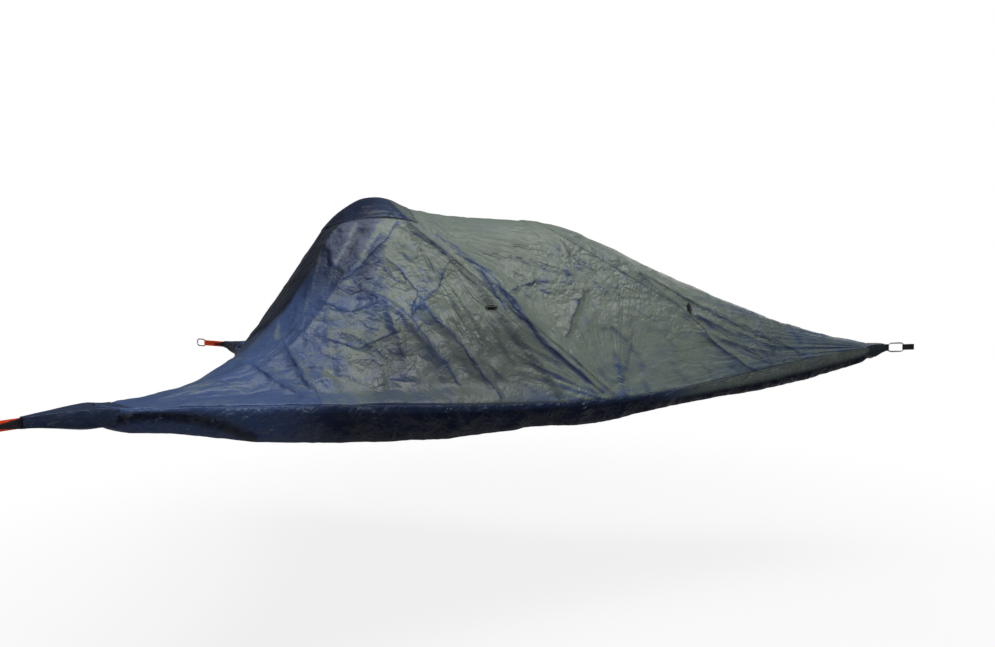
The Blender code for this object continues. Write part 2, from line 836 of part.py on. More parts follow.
def floor_grid():
    start = inner_head_rim(0, -FLOOR_BELOW_EDGE, FLOOR_THICKNESS)
    tip = inner_side_rim(1, -FLOOR_BELOW_EDGE, FLOOR_THICKNESS)
    end = Vector((tip.x, 0, tip.z))
    half = patch(
        lambda v: inner_head_rim(v, -FLOOR_BELOW_EDGE, FLOOR_THICKNESS),
        lambda v: end.lerp(tip, v),
        lambda u: start.lerp(end, u) - UP * (SIDE_EDGE_SAG * 4 * u * (1 - u)),
        lambda u: inner_side_rim(u, -FLOOR_BELOW_EDGE, FLOOR_THICKNESS),
        rim_shares(), steps(INNER_COLUMNS),
    )
    for row in half:
        width = (row[0] - row[-1]).length / (HEAD_WIDTH / 2)
        for k, v in enumerate(steps(INNER_COLUMNS)):
            row[k] = row[k] - UP * FLOOR_DROP * width * math.sin(math.pi * v) ** 2
    return half


def make_floor(tent):
    half = floor_grid()
    full = both_halves(half)
    sheet("floor_panel", full, FLOOR_THICKNESS, tent, "floor_cloth", middle=INNER_COLUMNS)
    reach = CENTRE_STRAP_WIDTH / 2
    below = FLOOR_THICKNESS / 2 + TOUCH_GAP + CENTRE_STRAP_THICKNESS / 2
    strap = []
    for row in half:
        slope = (row[1].z - row[0].z) / (row[0].y - row[1].y)
        drop = below + max(-slope, 0) * reach
        if row[0].y - row[1].y > reach:
            middle = row[0] - UP * drop
            strap.append([middle + Vector((0, reach, 0)), middle - Vector((0, reach, 0))])
    sheet("centre_strap", strap, CENTRE_STRAP_THICKNESS, tent, "black_webbing")


def wedge_half(corner, distance):
    """Half the width of the corner wedge, which fills the space between the webbings' ends."""
    clear = WEBBING_THICKNESS / 2 + TOUCH_GAP
    return edge_spreads(corner, distance)[0] - clear / math.cos(math.radians(WEDGE_SLANT_DEGREES))


def strap_loops(corner, start, end, eye):
    """A corner strap from above: a wedge between the webbings, then the strap and its eye."""
    ply = STRAP_PLY
    outer = EYE_RADIUS + EYE_WALL
    neck = eye - math.sqrt(outer**2 - ply**2)
    angle = math.degrees(math.asin(ply / outer))
    shape = [(-start, -wedge_half(corner, start)), (-end, -wedge_half(corner, end))]
    shape.append((-end + STRAP_WIDTH / 2, -ply))
    shape += arc(eye, 0, outer, -180 + angle, 180 - angle, 11)
    shape.append((-end + STRAP_WIDTH / 2, ply))
    shape += [(-end, wedge_half(corner, end)), (-start, wedge_half(corner, start))]
    hole = arc(eye, 0, EYE_RADIUS, 0, 330, 11)
    return [shape, hole]


def ring_loops():
    """A long link from the side; its inner bar stands at zero."""
    bar_half = RING_BAR / 2
    outside = rounded_box_loop(-bar_half, RING_LENGTH - bar_half, RING_HEIGHT / 2, RING_CORNER)
    inside = rounded_box_loop(
        bar_half, RING_LENGTH - RING_BAR - bar_half, RING_HEIGHT / 2 - RING_BAR, RING_CORNER - RING_BAR
    )
    return [outside, inside]


def make_corner(tent, corner):
    point, turn = corner_frame(corner)
    tail = corner == "tail"
    eye = -TAIL_EYE_SETBACK if tail else HEAD_STRAP_REACH
    start = TAIL_WEDGE_START if tail else HEAD_WEDGE_START
    end = TAIL_WEDGE_END if tail else HEAD_WEDGE_END
    finish = "black_webbing" if tail else "orange_webbing"
    loops = strap_loops(corner, start, end, eye)
    outline(f"corner_strap_{corner}", loops, STRAP_WIDTH, point, turn, tent, finish)
    hub = at_corner(corner, eye)
    outline(f"corner_ring_{corner}", ring_loops(), RING_BAR, hub, turn, tent, "ring_steel", True, RING_EDGE)
    if tail:
        outer_bar = RING_LENGTH - RING_BAR
        loop = rounded_box_loop(
            outer_bar - EYE_RADIUS - EYE_WALL, outer_bar + TAIL_LOOP_LENGTH, EYE_RADIUS + EYE_WALL,
            TAIL_LOOP_CORNER + EYE_WALL,
        )
        hole = rounded_box_loop(
            outer_bar - EYE_RADIUS, outer_bar + TAIL_LOOP_LENGTH - EYE_WALL, EYE_RADIUS,
            TAIL_LOOP_CORNER,
        )
        outline("tail_loop", [loop, hole], STRAP_WIDTH, hub, turn, tent, "black_webbing")


def cuff_section(corner, distance, half_height):
    """A box-shaped section of the fly's cuff, across a corner's centre line."""
    wall = WEBBING_THICKNESS / 2 + TOUCH_GAP + CUFF_WALL / 2
    clearance = TAIL_CUFF_CLEARANCE if corner == "tail" else HEAD_CUFF_CLEARANCE
    half_width = edge_spreads(corner, distance)[1] + clearance + wall
    half_width = max(half_width, STRAP_PLY + TIE_THICKNESS + RING_BAR)
    points = []
    for angle in steps(CUFF_SIDES, 0, 2 * math.pi)[:-1]:
        across = math.cos(angle)
        height = math.sin(angle)
        square = max(abs(across), abs(height))
        points.append(at_corner(
            corner, -distance, half_width * across / square, CUFF_RISE + half_height * height / square
        ))
    return points


def make_cuff(tent, corner):
    tail = corner == "tail"
    start = TAIL_CUFF_START if tail else HEAD_CUFF_START
    end = TAIL_CUFF_END if tail else HEAD_CUFF_END
    halves = TAIL_CUFF_HALVES if tail else HEAD_CUFF_HALVES
    sizes = zip(steps(CUFF_STEPS, start, end), steps(CUFF_STEPS, *halves))
    grid = [cuff_section(corner, distance, half) for distance, half in sizes]
    if corner == "left":
        grid = [list(reversed(row)) for row in grid]
    sheet(f"fly_cuff_{corner}", grid, CUFF_WALL, tent, "fly_slate", wrap=True)
    if tail:
        return
    side = 1 if corner == "right" else -1
    across = side * (STRAP_PLY + TOUCH_GAP + TIE_THICKNESS / 2)
    shape = [
        (0, -TIE_INNER_HEIGHT / 2), (TIE_LENGTH, -TIE_OUTER_HEIGHT / 2),
        (TIE_LENGTH, TIE_OUTER_HEIGHT / 2), (0, TIE_INNER_HEIGHT / 2),
    ]
    base = at_corner(corner, STRAP_WIDTH / 2 - HEAD_WEDGE_END + TIE_THICKNESS, across, CUFF_RISE)
    turn = corner_frame(corner)[1]
    outline(f"fly_tie_{corner}", [shape], TIE_THICKNESS, base, turn, tent, "black_webbing", True)


def make_poles(tent):
    for kind, ferrules in (("main", MAIN_FERRULE_STATIONS), ("rear", REAR_FERRULE_STATIONS)):
        half = [pole_line(kind, turn) for turn in hoop_turns(kind)]
        points = [on_side(point, 1) for point in reversed(half[1:])] + half
        bar(f"{kind}_hoop_pole", points, POLE_RADIUS, tent, "pole_alloy")
        for name, side in SIDES:
            for count, station in enumerate(ferrules):
                low = on_side(half[station], side)
                high = on_side(half[station - 1], side)
                axis = (high - low).normalized()
                middle = (low + high) / 2
                bore = POLE_RADIUS + TOUCH_GAP
                outer = bore + FERRULE_WALL
                profile = ((outer, FERRULE_LENGTH), (outer, 0), (bore, 0), (bore, FERRULE_LENGTH), (outer, FERRULE_LENGTH))
                letter = "ab"[count]
                turned(
                    f"{kind}_ferrule_{name}_{letter}", profile, middle - axis * FERRULE_LENGTH / 2,
                    axis, tent, "pole_alloy",
                )
            foot = on_side(half[-1], side)
            axis = (on_side(half[-2], side) - foot).normalized()
            bore = POLE_RADIUS + TOUCH_GAP
            profile = (
                (bore + CUP_WALL, CUP_DEPTH), (bore + CUP_WALL, 0), (0, 0), (0, CUP_FLOOR),
                (bore, CUP_FLOOR), (bore, CUP_DEPTH), (bore + CUP_WALL, CUP_DEPTH),
            )
            base = foot - axis * (CUP_FLOOR + TOUCH_GAP)
            turned(f"{kind}_foot_cup_{name}", profile, base, axis, tent, "black_plastic")


def make_fly(tent):
    front = front_patch()
    side = side_patch()
    saddle = saddle_patch()
    tail = tail_patch()
    for name, hand in SIDES:
        half = pulled(pulled(front, "first_column", ZIP_SPLIT / 2), "last_row", SEAM_PULL)
        sheet(f"fly_front_{name}", grid_on_side(half, hand), FLY_THICKNESS, tent, "fly_slate")
        panel = pulled(pulled(side, "first_column", SEAM_PULL), "last_row", SEAM_PULL)
        sheet(f"fly_side_{name}", grid_on_side(panel, hand), FLY_THICKNESS, tent, "fly_slate")
    centre = PANEL_COLUMNS + LEG_COLUMNS
    sheet("fly_middle", both_halves(saddle), FLY_THICKNESS, tent, "fly_olive", middle=centre)
    behind = both_halves(pulled(tail, "first_row", SEAM_PULL))
    sheet("fly_tail", behind, FLY_THICKNESS, tent, "fly_olive", middle=centre)
    brim = both_halves(front)[-BRIM_ROWS:]
    sheet("fly_brim", lifted(brim, BRIM_LIFT), FLY_THICKNESS, tent, "fly_slate", middle=PANEL_COLUMNS)
    return side, tail


def hem_rows(edge_points, outs, drops):
    """A hem below a fly's edge: it swells, falls and curls in."""
    top = []
    for point in edge_points:
        top.append(point - UP * SEAM_PULL)
    rows = [top]
    for fall, swell in HEM_PROFILE_SHARES:
        row = []
        for point, out, drop in zip(edge_points, outs, drops):
            row.append(point + out * HEM_BULGE * swell * min(drop / HEM_DROP, 1) - UP * (drop * fall))
        rows.append(row)
    curl = []
    for point, out, drop in zip(edge_points, outs, drops):
        curl.append(point - out * HEM_CURL * min(drop / HEM_DROP, 1) - UP * drop)
    rows.append(curl)
    return rows


def make_hems(tent):
    front_end = fly_foot_share("main")
    rear_end = fly_foot_share("rear")
    shares = [u * front_end for u in FRONT_ROW_SHARES[1:]]
    shares += [front_end + (rear_end - front_end) * u for u in SADDLE_ROW_SHARES[1:]]
    shares += [rear_end + (1 - rear_end) * u for u in TAIL_ROW_SHARES[1:-2]]
    outs = []
    drops = []
    for share in shares:
        run = side_run()
        along = (HEAD_TIP_SETBACK + (run - HEAD_TIP_SETBACK - TAIL_TIP_SETBACK) * share) / run
        outs.append(outward(side_edge, along))
        drops.append(HEM_DROP * between(SIDE_HEM_PLACE_SHARES, SIDE_HEM_DROP_SHARES, share))
    rows = hem_rows([fly_side_edge(share) for share in shares], outs, drops)
    for name, side in SIDES:
        sheet(f"fly_hem_{name}", grid_on_side(rows, side), FLY_THICKNESS, tent, "fly_dark")
    foot = PANEL_FOOT_HALF / head_run()
    shares = steps(PANEL_COLUMNS, 0, foot) + steps(LEG_COLUMNS, foot, 1)[1:-1]
    outs = [outward(head_edge, share) for share in shares]
    drops = []
    for share in shares:
        drops.append(HEAD_HEM_DROP * smooth_step((1 - share) / HEAD_HEM_FADE_SHARE + HEAD_HEM_END_SHARE))
    rows = hem_rows([fly_head_edge(share) for share in shares], outs, drops)
    middle = len(rows[0]) - 1
    sheet("fly_hem_head", both_halves(rows), FLY_THICKNESS, tent, "fly_dark", middle=middle)


def inner_hoop(kind, turn):
    """The inner canopy's line below a hoop; it draws in above its foot."""
    top = crown(kind) - UP * INNER_DROP
    foot = inner_side_rim(inner_foot_share(kind), INNER_ABOVE_EDGE, INNER_THICKNESS)
    return hoop(top, foot, turn) + Vector((0, INNER_FOOT_INSET * smooth_step(INNER_COLUMNS * (1 - turn)), 0))


def inner_nose(share):
    """The inner canopy's centre line in front, straight where the door's zip lies."""
    start = inner_head_rim(0, INNER_ABOVE_EDGE, INNER_THICKNESS)
    top = Vector((NOSE_TOP_X + INNER_NOSE_INSET, 0, NOSE_TOP_Z - INNER_NOSE_INSET / 2))
    handle = Vector((BRIM_X + INNER_NOSE_INSET / 2, 0, BRIM_Z - INNER_DROP))
    high = NOSE_STRAIGHT_SHARES[1]
    if share <= high:
        return start.lerp(top, share / high)
    end = inner_hoop("main", 0)
    end.y = 0
    return bend(top, handle, end, (share - high) / (1 - high))


def inner_grid():
    main_share = inner_foot_share("main")
    rear_share = inner_foot_share("rear")
    tip = inner_side_rim(1, INNER_ABOVE_EDGE, INNER_THICKNESS)
    middle = Vector((tip.x, 0, tip.z))
    columns = steps(INNER_COLUMNS)

    def rim_line(start, end):
        return lambda u: inner_side_rim(start + (end - start) * u, INNER_ABOVE_EDGE, INNER_THICKNESS)

    front = patch(
        lambda v: inner_head_rim(v, INNER_ABOVE_EDGE, INNER_THICKNESS),
        lambda v: inner_hoop("main", v),
        inner_nose, rim_line(0, main_share), steps(INNER_FRONT_ROWS), columns,
    )
    for row, u in zip(front, steps(INNER_FRONT_ROWS)):
        for k, v in enumerate(columns):
            row[k] = row[k] - UP * INNER_DIP * math.sqrt(math.sin(math.pi * u) * math.sin(math.pi * v))
    centre = patch(
        lambda v: inner_hoop("main", v), lambda v: inner_hoop("rear", v),
        lambda u: inner_hoop("main", 0).lerp(inner_hoop("rear", 0), u) - UP * INNER_DROP * 4 * u * (1 - u),
        rim_line(main_share, rear_share), steps(INNER_MIDDLE_ROWS), columns,
    )
    end = patch(
        lambda v: inner_hoop("rear", v), lambda v: middle.lerp(tip, v),
        lambda u: inner_hoop("rear", 0).lerp(middle, u) - UP * INNER_TAIL_SAG * 4 * u * (1 - u),
        rim_line(rear_share, 1), steps(INNER_TAIL_ROWS), columns,
    )
    return both_halves(front + centre[1:] + end[1:])


def make_inner(tent):
    grid = inner_grid()
    low, high = DOOR_ROWS
    first = INNER_COLUMNS - DOOR_HALF_COLUMNS
    last = INNER_COLUMNS + DOOR_HALF_COLUMNS
    doorway = {(r, c) for r in range(low, high) for c in range(first, last)}
    sheet("inner_canopy", grid, INNER_THICKNESS, tent, "black_mesh", doorway, middle=INNER_COLUMNS)
    door = [row[first:last + 1] for row in grid[low:high + 1]]
    for border in ("first_row", "last_row", "first_column", "last_column"):
        door = pulled(door, border, DOOR_GAP)
    sheet("inner_door", door, INNER_THICKNESS, tent, "black_mesh", middle=DOOR_HALF_COLUMNS)
    bottom = grid[low][INNER_COLUMNS]
    top = grid[high][INNER_COLUMNS]
    make_zip(tent, "inner", bottom, top, INNER_THICKNESS, False)


def make_zip(tent, name, bottom, top, cloth, raised):
    """A zip on the outer face of cloth, with its slider at the foot and its pull hanging down."""
    run = (top - bottom).length - 2 * ZIP_END_MARGIN
    along = (top - bottom).normalized()
    turn = frame_of(along, Vector((-1, 0, 0)))
    out = turn @ UP
    middle = (top + bottom) / 2
    tape_at = cloth / 2 + TOUCH_GAP + ZIP_TAPE_THICKNESS / 2
    box(
        f"{name}_zip_tape", (run, ZIP_TAPE_WIDTH, ZIP_TAPE_THICKNESS), middle + out * tape_at, turn, tent,
        "zip_tape",
    )
    top_face = tape_at + ZIP_TAPE_THICKNESS / 2 + TOUCH_GAP
    if raised:
        coil_at = middle + out * (top_face + ZIP_COIL_HEIGHT / 2)
        size = (run, ZIP_COIL_WIDTH, ZIP_COIL_HEIGHT)
        box(f"{name}_zip_coil", size, coil_at, turn, tent, "black_plastic")
        top_face += ZIP_COIL_HEIGHT + TOUCH_GAP
    slider_at = top_face + SLIDER_HEIGHT / 2
    foot = bottom + along * (ZIP_END_MARGIN + PULL_LENGTH + SLIDER_LENGTH / 2)
    box(
        f"{name}_zip_slider", (SLIDER_LENGTH, SLIDER_WIDTH, SLIDER_HEIGHT), foot + out * slider_at, turn,
        tent, "ring_steel", SLIDER_EDGE,
    )
    pull_at = slider_at + SLIDER_HEIGHT / 2 + TOUCH_GAP + PULL_THICKNESS / 2
    box(
        f"{name}_zip_pull", (PULL_LENGTH, PULL_WIDTH, PULL_THICKNESS),
        foot + out * pull_at, turn, tent, "black_plastic", shift=PULL_LENGTH / 2,
    )


def nearest_on_pole(kind, point):
    """The nearest point of a pole's right half, and the pole's direction there."""
    line = [pole_line(kind, turn) for turn in hoop_turns(kind)]
    found = []
    for low, high in zip(line, line[1:]):
        run = high - low
        t = min(max((point - low).dot(run) / run.dot(run), 0.0), 1.0)
        spot = low + run * t
        found.append(((point - spot).length, spot, run.normalized()))
    return min(found, key=lambda item: item[0])[1:]


def make_clips(tent):
    """Hooks that snap over the poles and hold up the inner canopy."""
    for kind, station in (("main", MAIN_CLIP_STATION), ("rear", REAR_CLIP_STATION)):
        held = inner_hoop(kind, station / INNER_COLUMNS)
        pole, ahead = nearest_on_pole(kind, held)
        bore = POLE_RADIUS + 2 * TOUCH_GAP
        outer = bore + CLIP_WALL
        half = CLIP_STEM / 2
        neck = math.degrees(math.asin(half / outer))
        end = (held - pole).length - CLIP_SLACK
        shape = [(end, half)] + arc(0, 0, outer, neck, 300, 10) + arc(0, 0, bore, 300, 0, 10)
        shape += [(outer, -half), (end, -half)]
        for name, side in SIDES:
            turn = frame_of(on_side(held - pole, side), on_side(ahead, side))
            at = on_side(pole, side)
            outline(f"{kind}_clip_{name}", [shape], CLIP_WIDTH, at, turn, tent, "black_plastic")


def make_guy_point(tent, name, corners, side, hang):
    """A tab sewn flat on a triangle of the fly, and the toggle bar that swivels on it.

    The bar and its tab lie level, or hang straight down the fly."""
    a, b, c = [on_side(point, side) for point in corners]
    centre = (a + b + c) / 3
    out = (b - a).cross(c - a).normalized()
    if out.z < 0:
        out = -out
    along = frame_of(out, UP) @ (UP if hang else Vector((0, 1, 0)))
    turn = Matrix((along, out.cross(along), out)).transposed()
    lift = FLY_THICKNESS / 2 + TOUCH_GAP + TAB_THICKNESS / 2
    box(f"guy_tab_{name}", (TAB_LENGTH, TAB_WIDTH, TAB_THICKNESS), centre + out * lift, turn, tent, "black_webbing")
    middle = centre + out * (lift + TAB_THICKNESS / 2 + TOUCH_GAP + TOGGLE_RADIUS)
    half = along * TOGGLE_LENGTH / 2
    bar(f"toggle_{name}", [-half, half], TOGGLE_RADIUS, tent, "black_plastic", middle)


def make_guy_points(tent, side_grid, tail_grid):
    for name, side in SIDES:
        r, c = FRONT_TOGGLE_CELL
        corners = (side_grid[r][c], side_grid[r][c + 1], side_grid[r + 1][c + 1])
        make_guy_point(tent, f"front_{name}", corners, side, False)
        r, c = TAIL_TOGGLE_CELL
        corners = (tail_grid[r][c], tail_grid[r + 1][c + 1], tail_grid[r + 1][c])
        make_guy_point(tent, f"rear_{name}", corners, side, True)


def build():
    clear_scene()
    tent = new_collection("tree_tent")
    make_floor(tent)
    make_edge_webbings(tent)
    for corner in ("right", "left", "tail"):
        make_corner(tent, corner)
        make_cuff(tent, corner)
    make_poles(tent)
    side_grid, tail_grid = make_fly(tent)
    make_hems(tent)
    make_inner(tent)
    make_clips(tent)
    nose_low, nose_high = [nose_line(share) for share in NOSE_STRAIGHT_SHARES]
    make_zip(tent, "fly", nose_low, nose_high, FLY_THICKNESS, True)
    make_guy_points(tent, side_grid, tail_grid)


build()
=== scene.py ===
"""Looks of the tree tent: its cloth, webbing, links, zips and toggles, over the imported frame.

+X runs from the head edge to the tail corner and +Z is up. Right is the side at -Y, near the
camera. Lengths are in metres.
"""
import json
import math

import bpy
import numpy as np
from mathutils import Matrix, Vector, noise

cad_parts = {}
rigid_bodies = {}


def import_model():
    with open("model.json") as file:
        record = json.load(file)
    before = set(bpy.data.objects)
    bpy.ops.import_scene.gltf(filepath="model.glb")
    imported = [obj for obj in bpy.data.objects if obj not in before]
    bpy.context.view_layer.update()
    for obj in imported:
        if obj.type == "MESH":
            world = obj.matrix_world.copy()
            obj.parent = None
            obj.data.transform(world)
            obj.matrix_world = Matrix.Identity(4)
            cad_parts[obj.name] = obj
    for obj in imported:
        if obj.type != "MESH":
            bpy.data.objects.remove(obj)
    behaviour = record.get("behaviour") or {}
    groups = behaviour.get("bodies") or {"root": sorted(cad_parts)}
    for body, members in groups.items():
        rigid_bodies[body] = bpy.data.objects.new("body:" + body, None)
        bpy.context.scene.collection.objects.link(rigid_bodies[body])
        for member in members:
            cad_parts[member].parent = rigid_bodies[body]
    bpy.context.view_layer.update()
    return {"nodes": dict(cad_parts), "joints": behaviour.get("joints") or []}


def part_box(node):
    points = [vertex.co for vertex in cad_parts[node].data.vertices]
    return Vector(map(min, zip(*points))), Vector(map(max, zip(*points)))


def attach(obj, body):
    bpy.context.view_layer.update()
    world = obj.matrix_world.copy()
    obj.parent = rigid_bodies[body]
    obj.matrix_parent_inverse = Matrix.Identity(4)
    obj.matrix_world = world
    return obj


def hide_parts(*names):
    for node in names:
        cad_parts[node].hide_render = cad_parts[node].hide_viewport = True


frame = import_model()
nodes = frame["nodes"]

# Blender seeds its noise by the clock; this seed gives the same folds each run
noise.seed_set(1795877407)

UP = np.array([0.0, 0.0, 1.0])

# ---- Sizes of the tent, as its solids have them
LENGTH = 4.0
WIDTH = 2.7
HEAD_BOW = 0.42
SIDE_BOW = 0.15
HEAD_SAG = 0.07
SIDE_SAG = 0.165
MAIN_FOOT = 0.583
REAR_FOOT = 0.80
MAIN_CROWN = (1.17, 0.8443)
REAR_CROWN = (1.97, 0.7173)
EDGE_OUT = 0.018
EDGE_RISE = 0.0195
HEAD_TIP = (0.27, 0.037)
TAIL_TIP = (0.2, 0.027)
TIP_BLEND = 0.1
HEM_DROP = 0.13
HEM_BULGE = 0.018
SETBACK = 0.14
FLOOR_HEIGHT = -0.004
EYE_REACH = 0.2
TAIL_EYE = 3.909
LINK_LENGTH = 0.105
LINK_HEIGHT = 0.054
LINK_WIRE = 0.008
LOOP_WIDTH = 0.03
STRAP_SEEN = 0.036
STRAP_PLY = 0.0014
EYE_RADIUS = 0.0055
EDGE_STEPS = 24

# The camera: where it stands, how it is turned, and its focal length in pixels
EYE = np.array([1.401, -4.026, 0.497])
TURN = [math.radians(angle) for angle in (5.089, -4.329, -1.177)]
FOCAL = 774.0
PICTURE = (995, 647)


def camera_axes():
    """Right, up and ahead of the camera."""
    yaw, pitch, roll = TURN
    ahead = np.array([math.sin(yaw) * math.cos(pitch), math.cos(yaw) * math.cos(pitch), math.sin(pitch)])
    level = np.array([math.cos(yaw), -math.sin(yaw), 0.0])
    above = np.cross(level, ahead)
    right = math.cos(roll) * level + math.sin(roll) * above
    over = -math.sin(roll) * level + math.cos(roll) * above
    return right, over, ahead


def seen_at(points):
    """Where points of the near half, or the mirror images of the far half's, show in the picture."""
    right, over, ahead = camera_axes()
    run = np.stack([points[..., 0], -abs(points[..., 1]), points[..., 2]], -1) - EYE
    depth = run @ ahead
    across, down = FOCAL * (run @ right) / depth, FOCAL * (run @ over) / depth
    return np.stack([PICTURE[0] / 2 + across, PICTURE[1] / 2 - down], -1)


def set_camera():
    data = bpy.data.cameras.new("camera")
    camera = bpy.data.objects.new("camera", data)
    bpy.context.scene.collection.objects.link(camera)
    right, over, ahead = camera_axes()
    camera.matrix_world = Matrix.Translation(EYE) @ Matrix((right, over, -ahead)).transposed().to_4x4()
    data.sensor_width = 36
    data.sensor_fit = "HORIZONTAL"
    data.lens = FOCAL / PICTURE[0] * 36
    data.clip_end = 200
    bpy.context.scene.camera = camera


# ---- Shader maths
class Value:
    """A socket of numbers; sums of it add Math nodes."""

    def __init__(self, look, socket):
        self.look = look
        self.socket = socket

    def maths(self, operation, *others):
        return self.look.node("Math", self, *others, operation=operation)

    def __add__(self, other):
        return self.maths("ADD", other)

    def __sub__(self, other):
        return self.maths("SUBTRACT", other)

    def __rsub__(self, other):
        return self.look.node("Math", other, self, operation="SUBTRACT")

    def __mul__(self, other):
        return self.maths("MULTIPLY", other)

    def __pow__(self, other):
        return self.maths("POWER", other)

    def ramp(self, low, high, start=0.0, end=1.0):
        """Runs smoothly from start to end while the value goes from low to high."""
        return self.look.node("MapRange", self, low, high, start, end, interpolation_type="SMOOTHSTEP")

    def wave(self, length):
        """0 to 1 and back over each length."""
        return (self * (2 * math.pi / length)).maths("SINE") * 0.5 + 0.5


class Nodes:
    """A tree of shader nodes."""

    def __init__(self, tree):
        self.tree = tree

    def give(self, socket, value):
        """Links a value to a socket, or sets the socket's own number or colour."""
        if isinstance(value, Value):
            self.tree.links.new(value.socket, socket)
        else:
            socket.default_value = (*value, 1) if socket.type == "RGBA" else value

    def node(self, kind, *values, out=0, **named):
        """Adds a node; small-letter names are its settings, the other names and values its sockets."""
        made = self.tree.nodes.new("ShaderNode" + kind)
        sockets = dict(enumerate(values))
        for name, value in named.items():
            if name.islower():
                setattr(made, name, value)
            else:
                sockets[name] = value
        for name, value in sockets.items():
            if value is not None:
                self.give(made.inputs[name], value)
        return Value(self, made.outputs[out])


class Look(Nodes):
    """A Principled material made of nodes."""

    def __init__(self, name, roughness, **fixed):
        self.material = bpy.data.materials.new(name)
        self.material.use_nodes = True
        super().__init__(self.material.node_tree)
        self.shader = self.tree.nodes["Principled BSDF"]
        self.finish(Roughness=roughness, **fixed)

    def finish(self, **sockets):
        """Gives the shader its values."""
        for name, value in sockets.items():
            self.give(self.shader.inputs[name.replace("_", " ")], value)
        return self.material

    def place(self, kind="Object"):
        return self.node("TexCoord", out=kind)

    def paint(self, name):
        return self.node("Attribute", attribute_name=name, out="Fac")

    def part(self, vector, axis):
        return self.node("SeparateXYZ", vector, out=axis)

    def vectors(self, operation, *values, out=0, **named):
        return self.node("VectorMath", *values, out=out, operation=operation, **named)

    def stretched(self, vector, scale):
        return self.node("Mapping", Vector=vector, Scale=scale)

    def noise(self, vector, scale, detail=2.0, rough=0.5, warp=0.0):
        return self.node("TexNoise", Vector=vector, Scale=scale, Detail=detail, Roughness=rough, Distortion=warp)

    def wobble(self, vector, scale):
        """Three noises in one, as a colour."""
        return self.node("TexNoise", out="Color", Vector=vector, Scale=scale, Detail=2.0)

    def mix(self, share, low, high):
        """Colours mixed by a share."""
        return self.node("Mix", share, *[None] * 5, low, high, out=2, data_type="RGBA")

    def bump(self, height, distance, strength=1.0, below=None):
        return self.node("Bump", Height=height, Distance=distance, Strength=strength, Normal=below)


def scaled(colour, share):
    return tuple(channel * share for channel in colour)


# Sharp creases, by where they show in the picture: width in pixels, then points
CREASES = (
    (4.5, ((364, 289), (388, 300), (412, 318), (436, 352), (458, 384))),
    (4.5, ((419, 297), (440, 322), (470, 355), (500, 398))),
    (3.5, ((399, 223), (372, 252), (352, 272), (336, 284))),
    (3.0, ((336, 284), (351, 294), (366, 288))),
    (4.0, ((410, 231), (436, 243), (450, 258), (438, 286), (412, 317))),
    (3.0, ((388, 258), (402, 272), (418, 290), (412, 317))),
    (4.0, ((451, 247), (484, 268), (508, 296), (540, 338), (602, 392))),
    (3.5, ((436, 234), (476, 262), (506, 310))),
    (4.5, ((512, 290), (530, 283), (548, 280))),
    (4.5, ((584, 289), (575, 312), (566, 335))),
    (4.0, ((283, 340), (301, 370), (322, 407))),
    (4.5, ((246, 360), (286, 386), (322, 407))),
    (4.0, ((684, 312), (726, 352), (758, 373))),
    (3.5, ((640, 272), (704, 308), (800, 352))),
    (3.0, ((560, 240), (572, 258), (592, 270))),
    (3.5, ((322, 300), (352, 312), (384, 300))),
    (3.5, ((330, 338), (360, 348), (396, 330))),
)

# Fans of fine creases: where they start, the first and last angle, their reach, and their count
FANS_OF_CREASES = (
    ((4.15, 2.29), (-10, 78), 2.3, 26.0, 1.0),
    ((6.17, 4.04), (-178, -62), 1.5, 22.0, 5.0),
    ((8.84, 3.48), (165, 200), 2.9, 40.0, 9.0),
    ((0.84, 4.12), (-30, 10), 3.4, 34.0, 13.0),
)


def pressed_creases(look):
    """How near a spot is to a sharp crease, from 0 to 1, and the height of the fans of creases.

    Lengths are in hundreds of pixels of the picture.
    """
    wobble = look.wobble(look.place(), 11.0)
    x, y = (
        look.paint(name) + (look.part(wobble, axis) - 0.5) * 0.09 for name, axis in (("across", "X"), ("down", "Y"))
    )
    nearest = None
    for width, line in CREASES:
        for (ax, ay), (bx, by) in zip(line, line[1:]):
            ax, ay, rx, ry = ax / 100, ay / 100, (bx - ax) / 100, (by - ay) / 100
            size = rx * rx + ry * ry
            share = x * (rx / size) + y * (ry / size) - (ax * rx + ay * ry) / size
            share = share.maths("MAXIMUM", 0.0).maths("MINIMUM", 1.0)
            off = ((x - ax - share * rx) ** 2 + (y - ay - share * ry) ** 2) ** 0.5 * (100 / width)
            nearest = nearest.maths("MINIMUM", off) if nearest else off
    fans = None
    for (cx, cy), (first, last), reach, count, seed in FANS_OF_CREASES:
        turn = math.radians((first + last) / 2)
        dx, dy = x - cx, y - cy
        ahead = dx * math.cos(turn) + dy * math.sin(turn)
        aside = dy * math.cos(turn) - dx * math.sin(turn)
        angle = aside.maths("ARCTAN2", ahead)
        far = (dx * dx + dy * dy) ** 0.5
        spread = math.radians((last - first) / 2)
        mask = angle.maths("ABSOLUTE").ramp(spread * 0.6, spread, 1.0, 0.0) * far.ramp(0.05, 0.25)
        mask = mask * far.ramp(reach * 0.4, reach, 1.0, 0.0)
        spot = look.node("CombineXYZ", angle * (count / 2), far * 0.9, seed)
        ridge = 1 - (look.noise(spot, 1.0, 2.0, 0.55) - 0.5).maths("ABSOLUTE") * 5
        fan = ridge.maths("MAXIMUM", 0.0) * mask * far.ramp(0.0, 1.2, 0.25, 1.0)
        fans = fans + fan if fans else fan
    return (nearest * -1).maths("EXPONENT"), fans


# Sewing: length of a stitch at a seam and on the sleeve band, how far the stitches and the seam's
# fold lie from its edge, and the spacing of the threads
STITCH = 0.0042
BAND_STITCH = 0.0052
STITCH_ROW = 0.007
FELL = 0.0085
THREAD = 0.0011


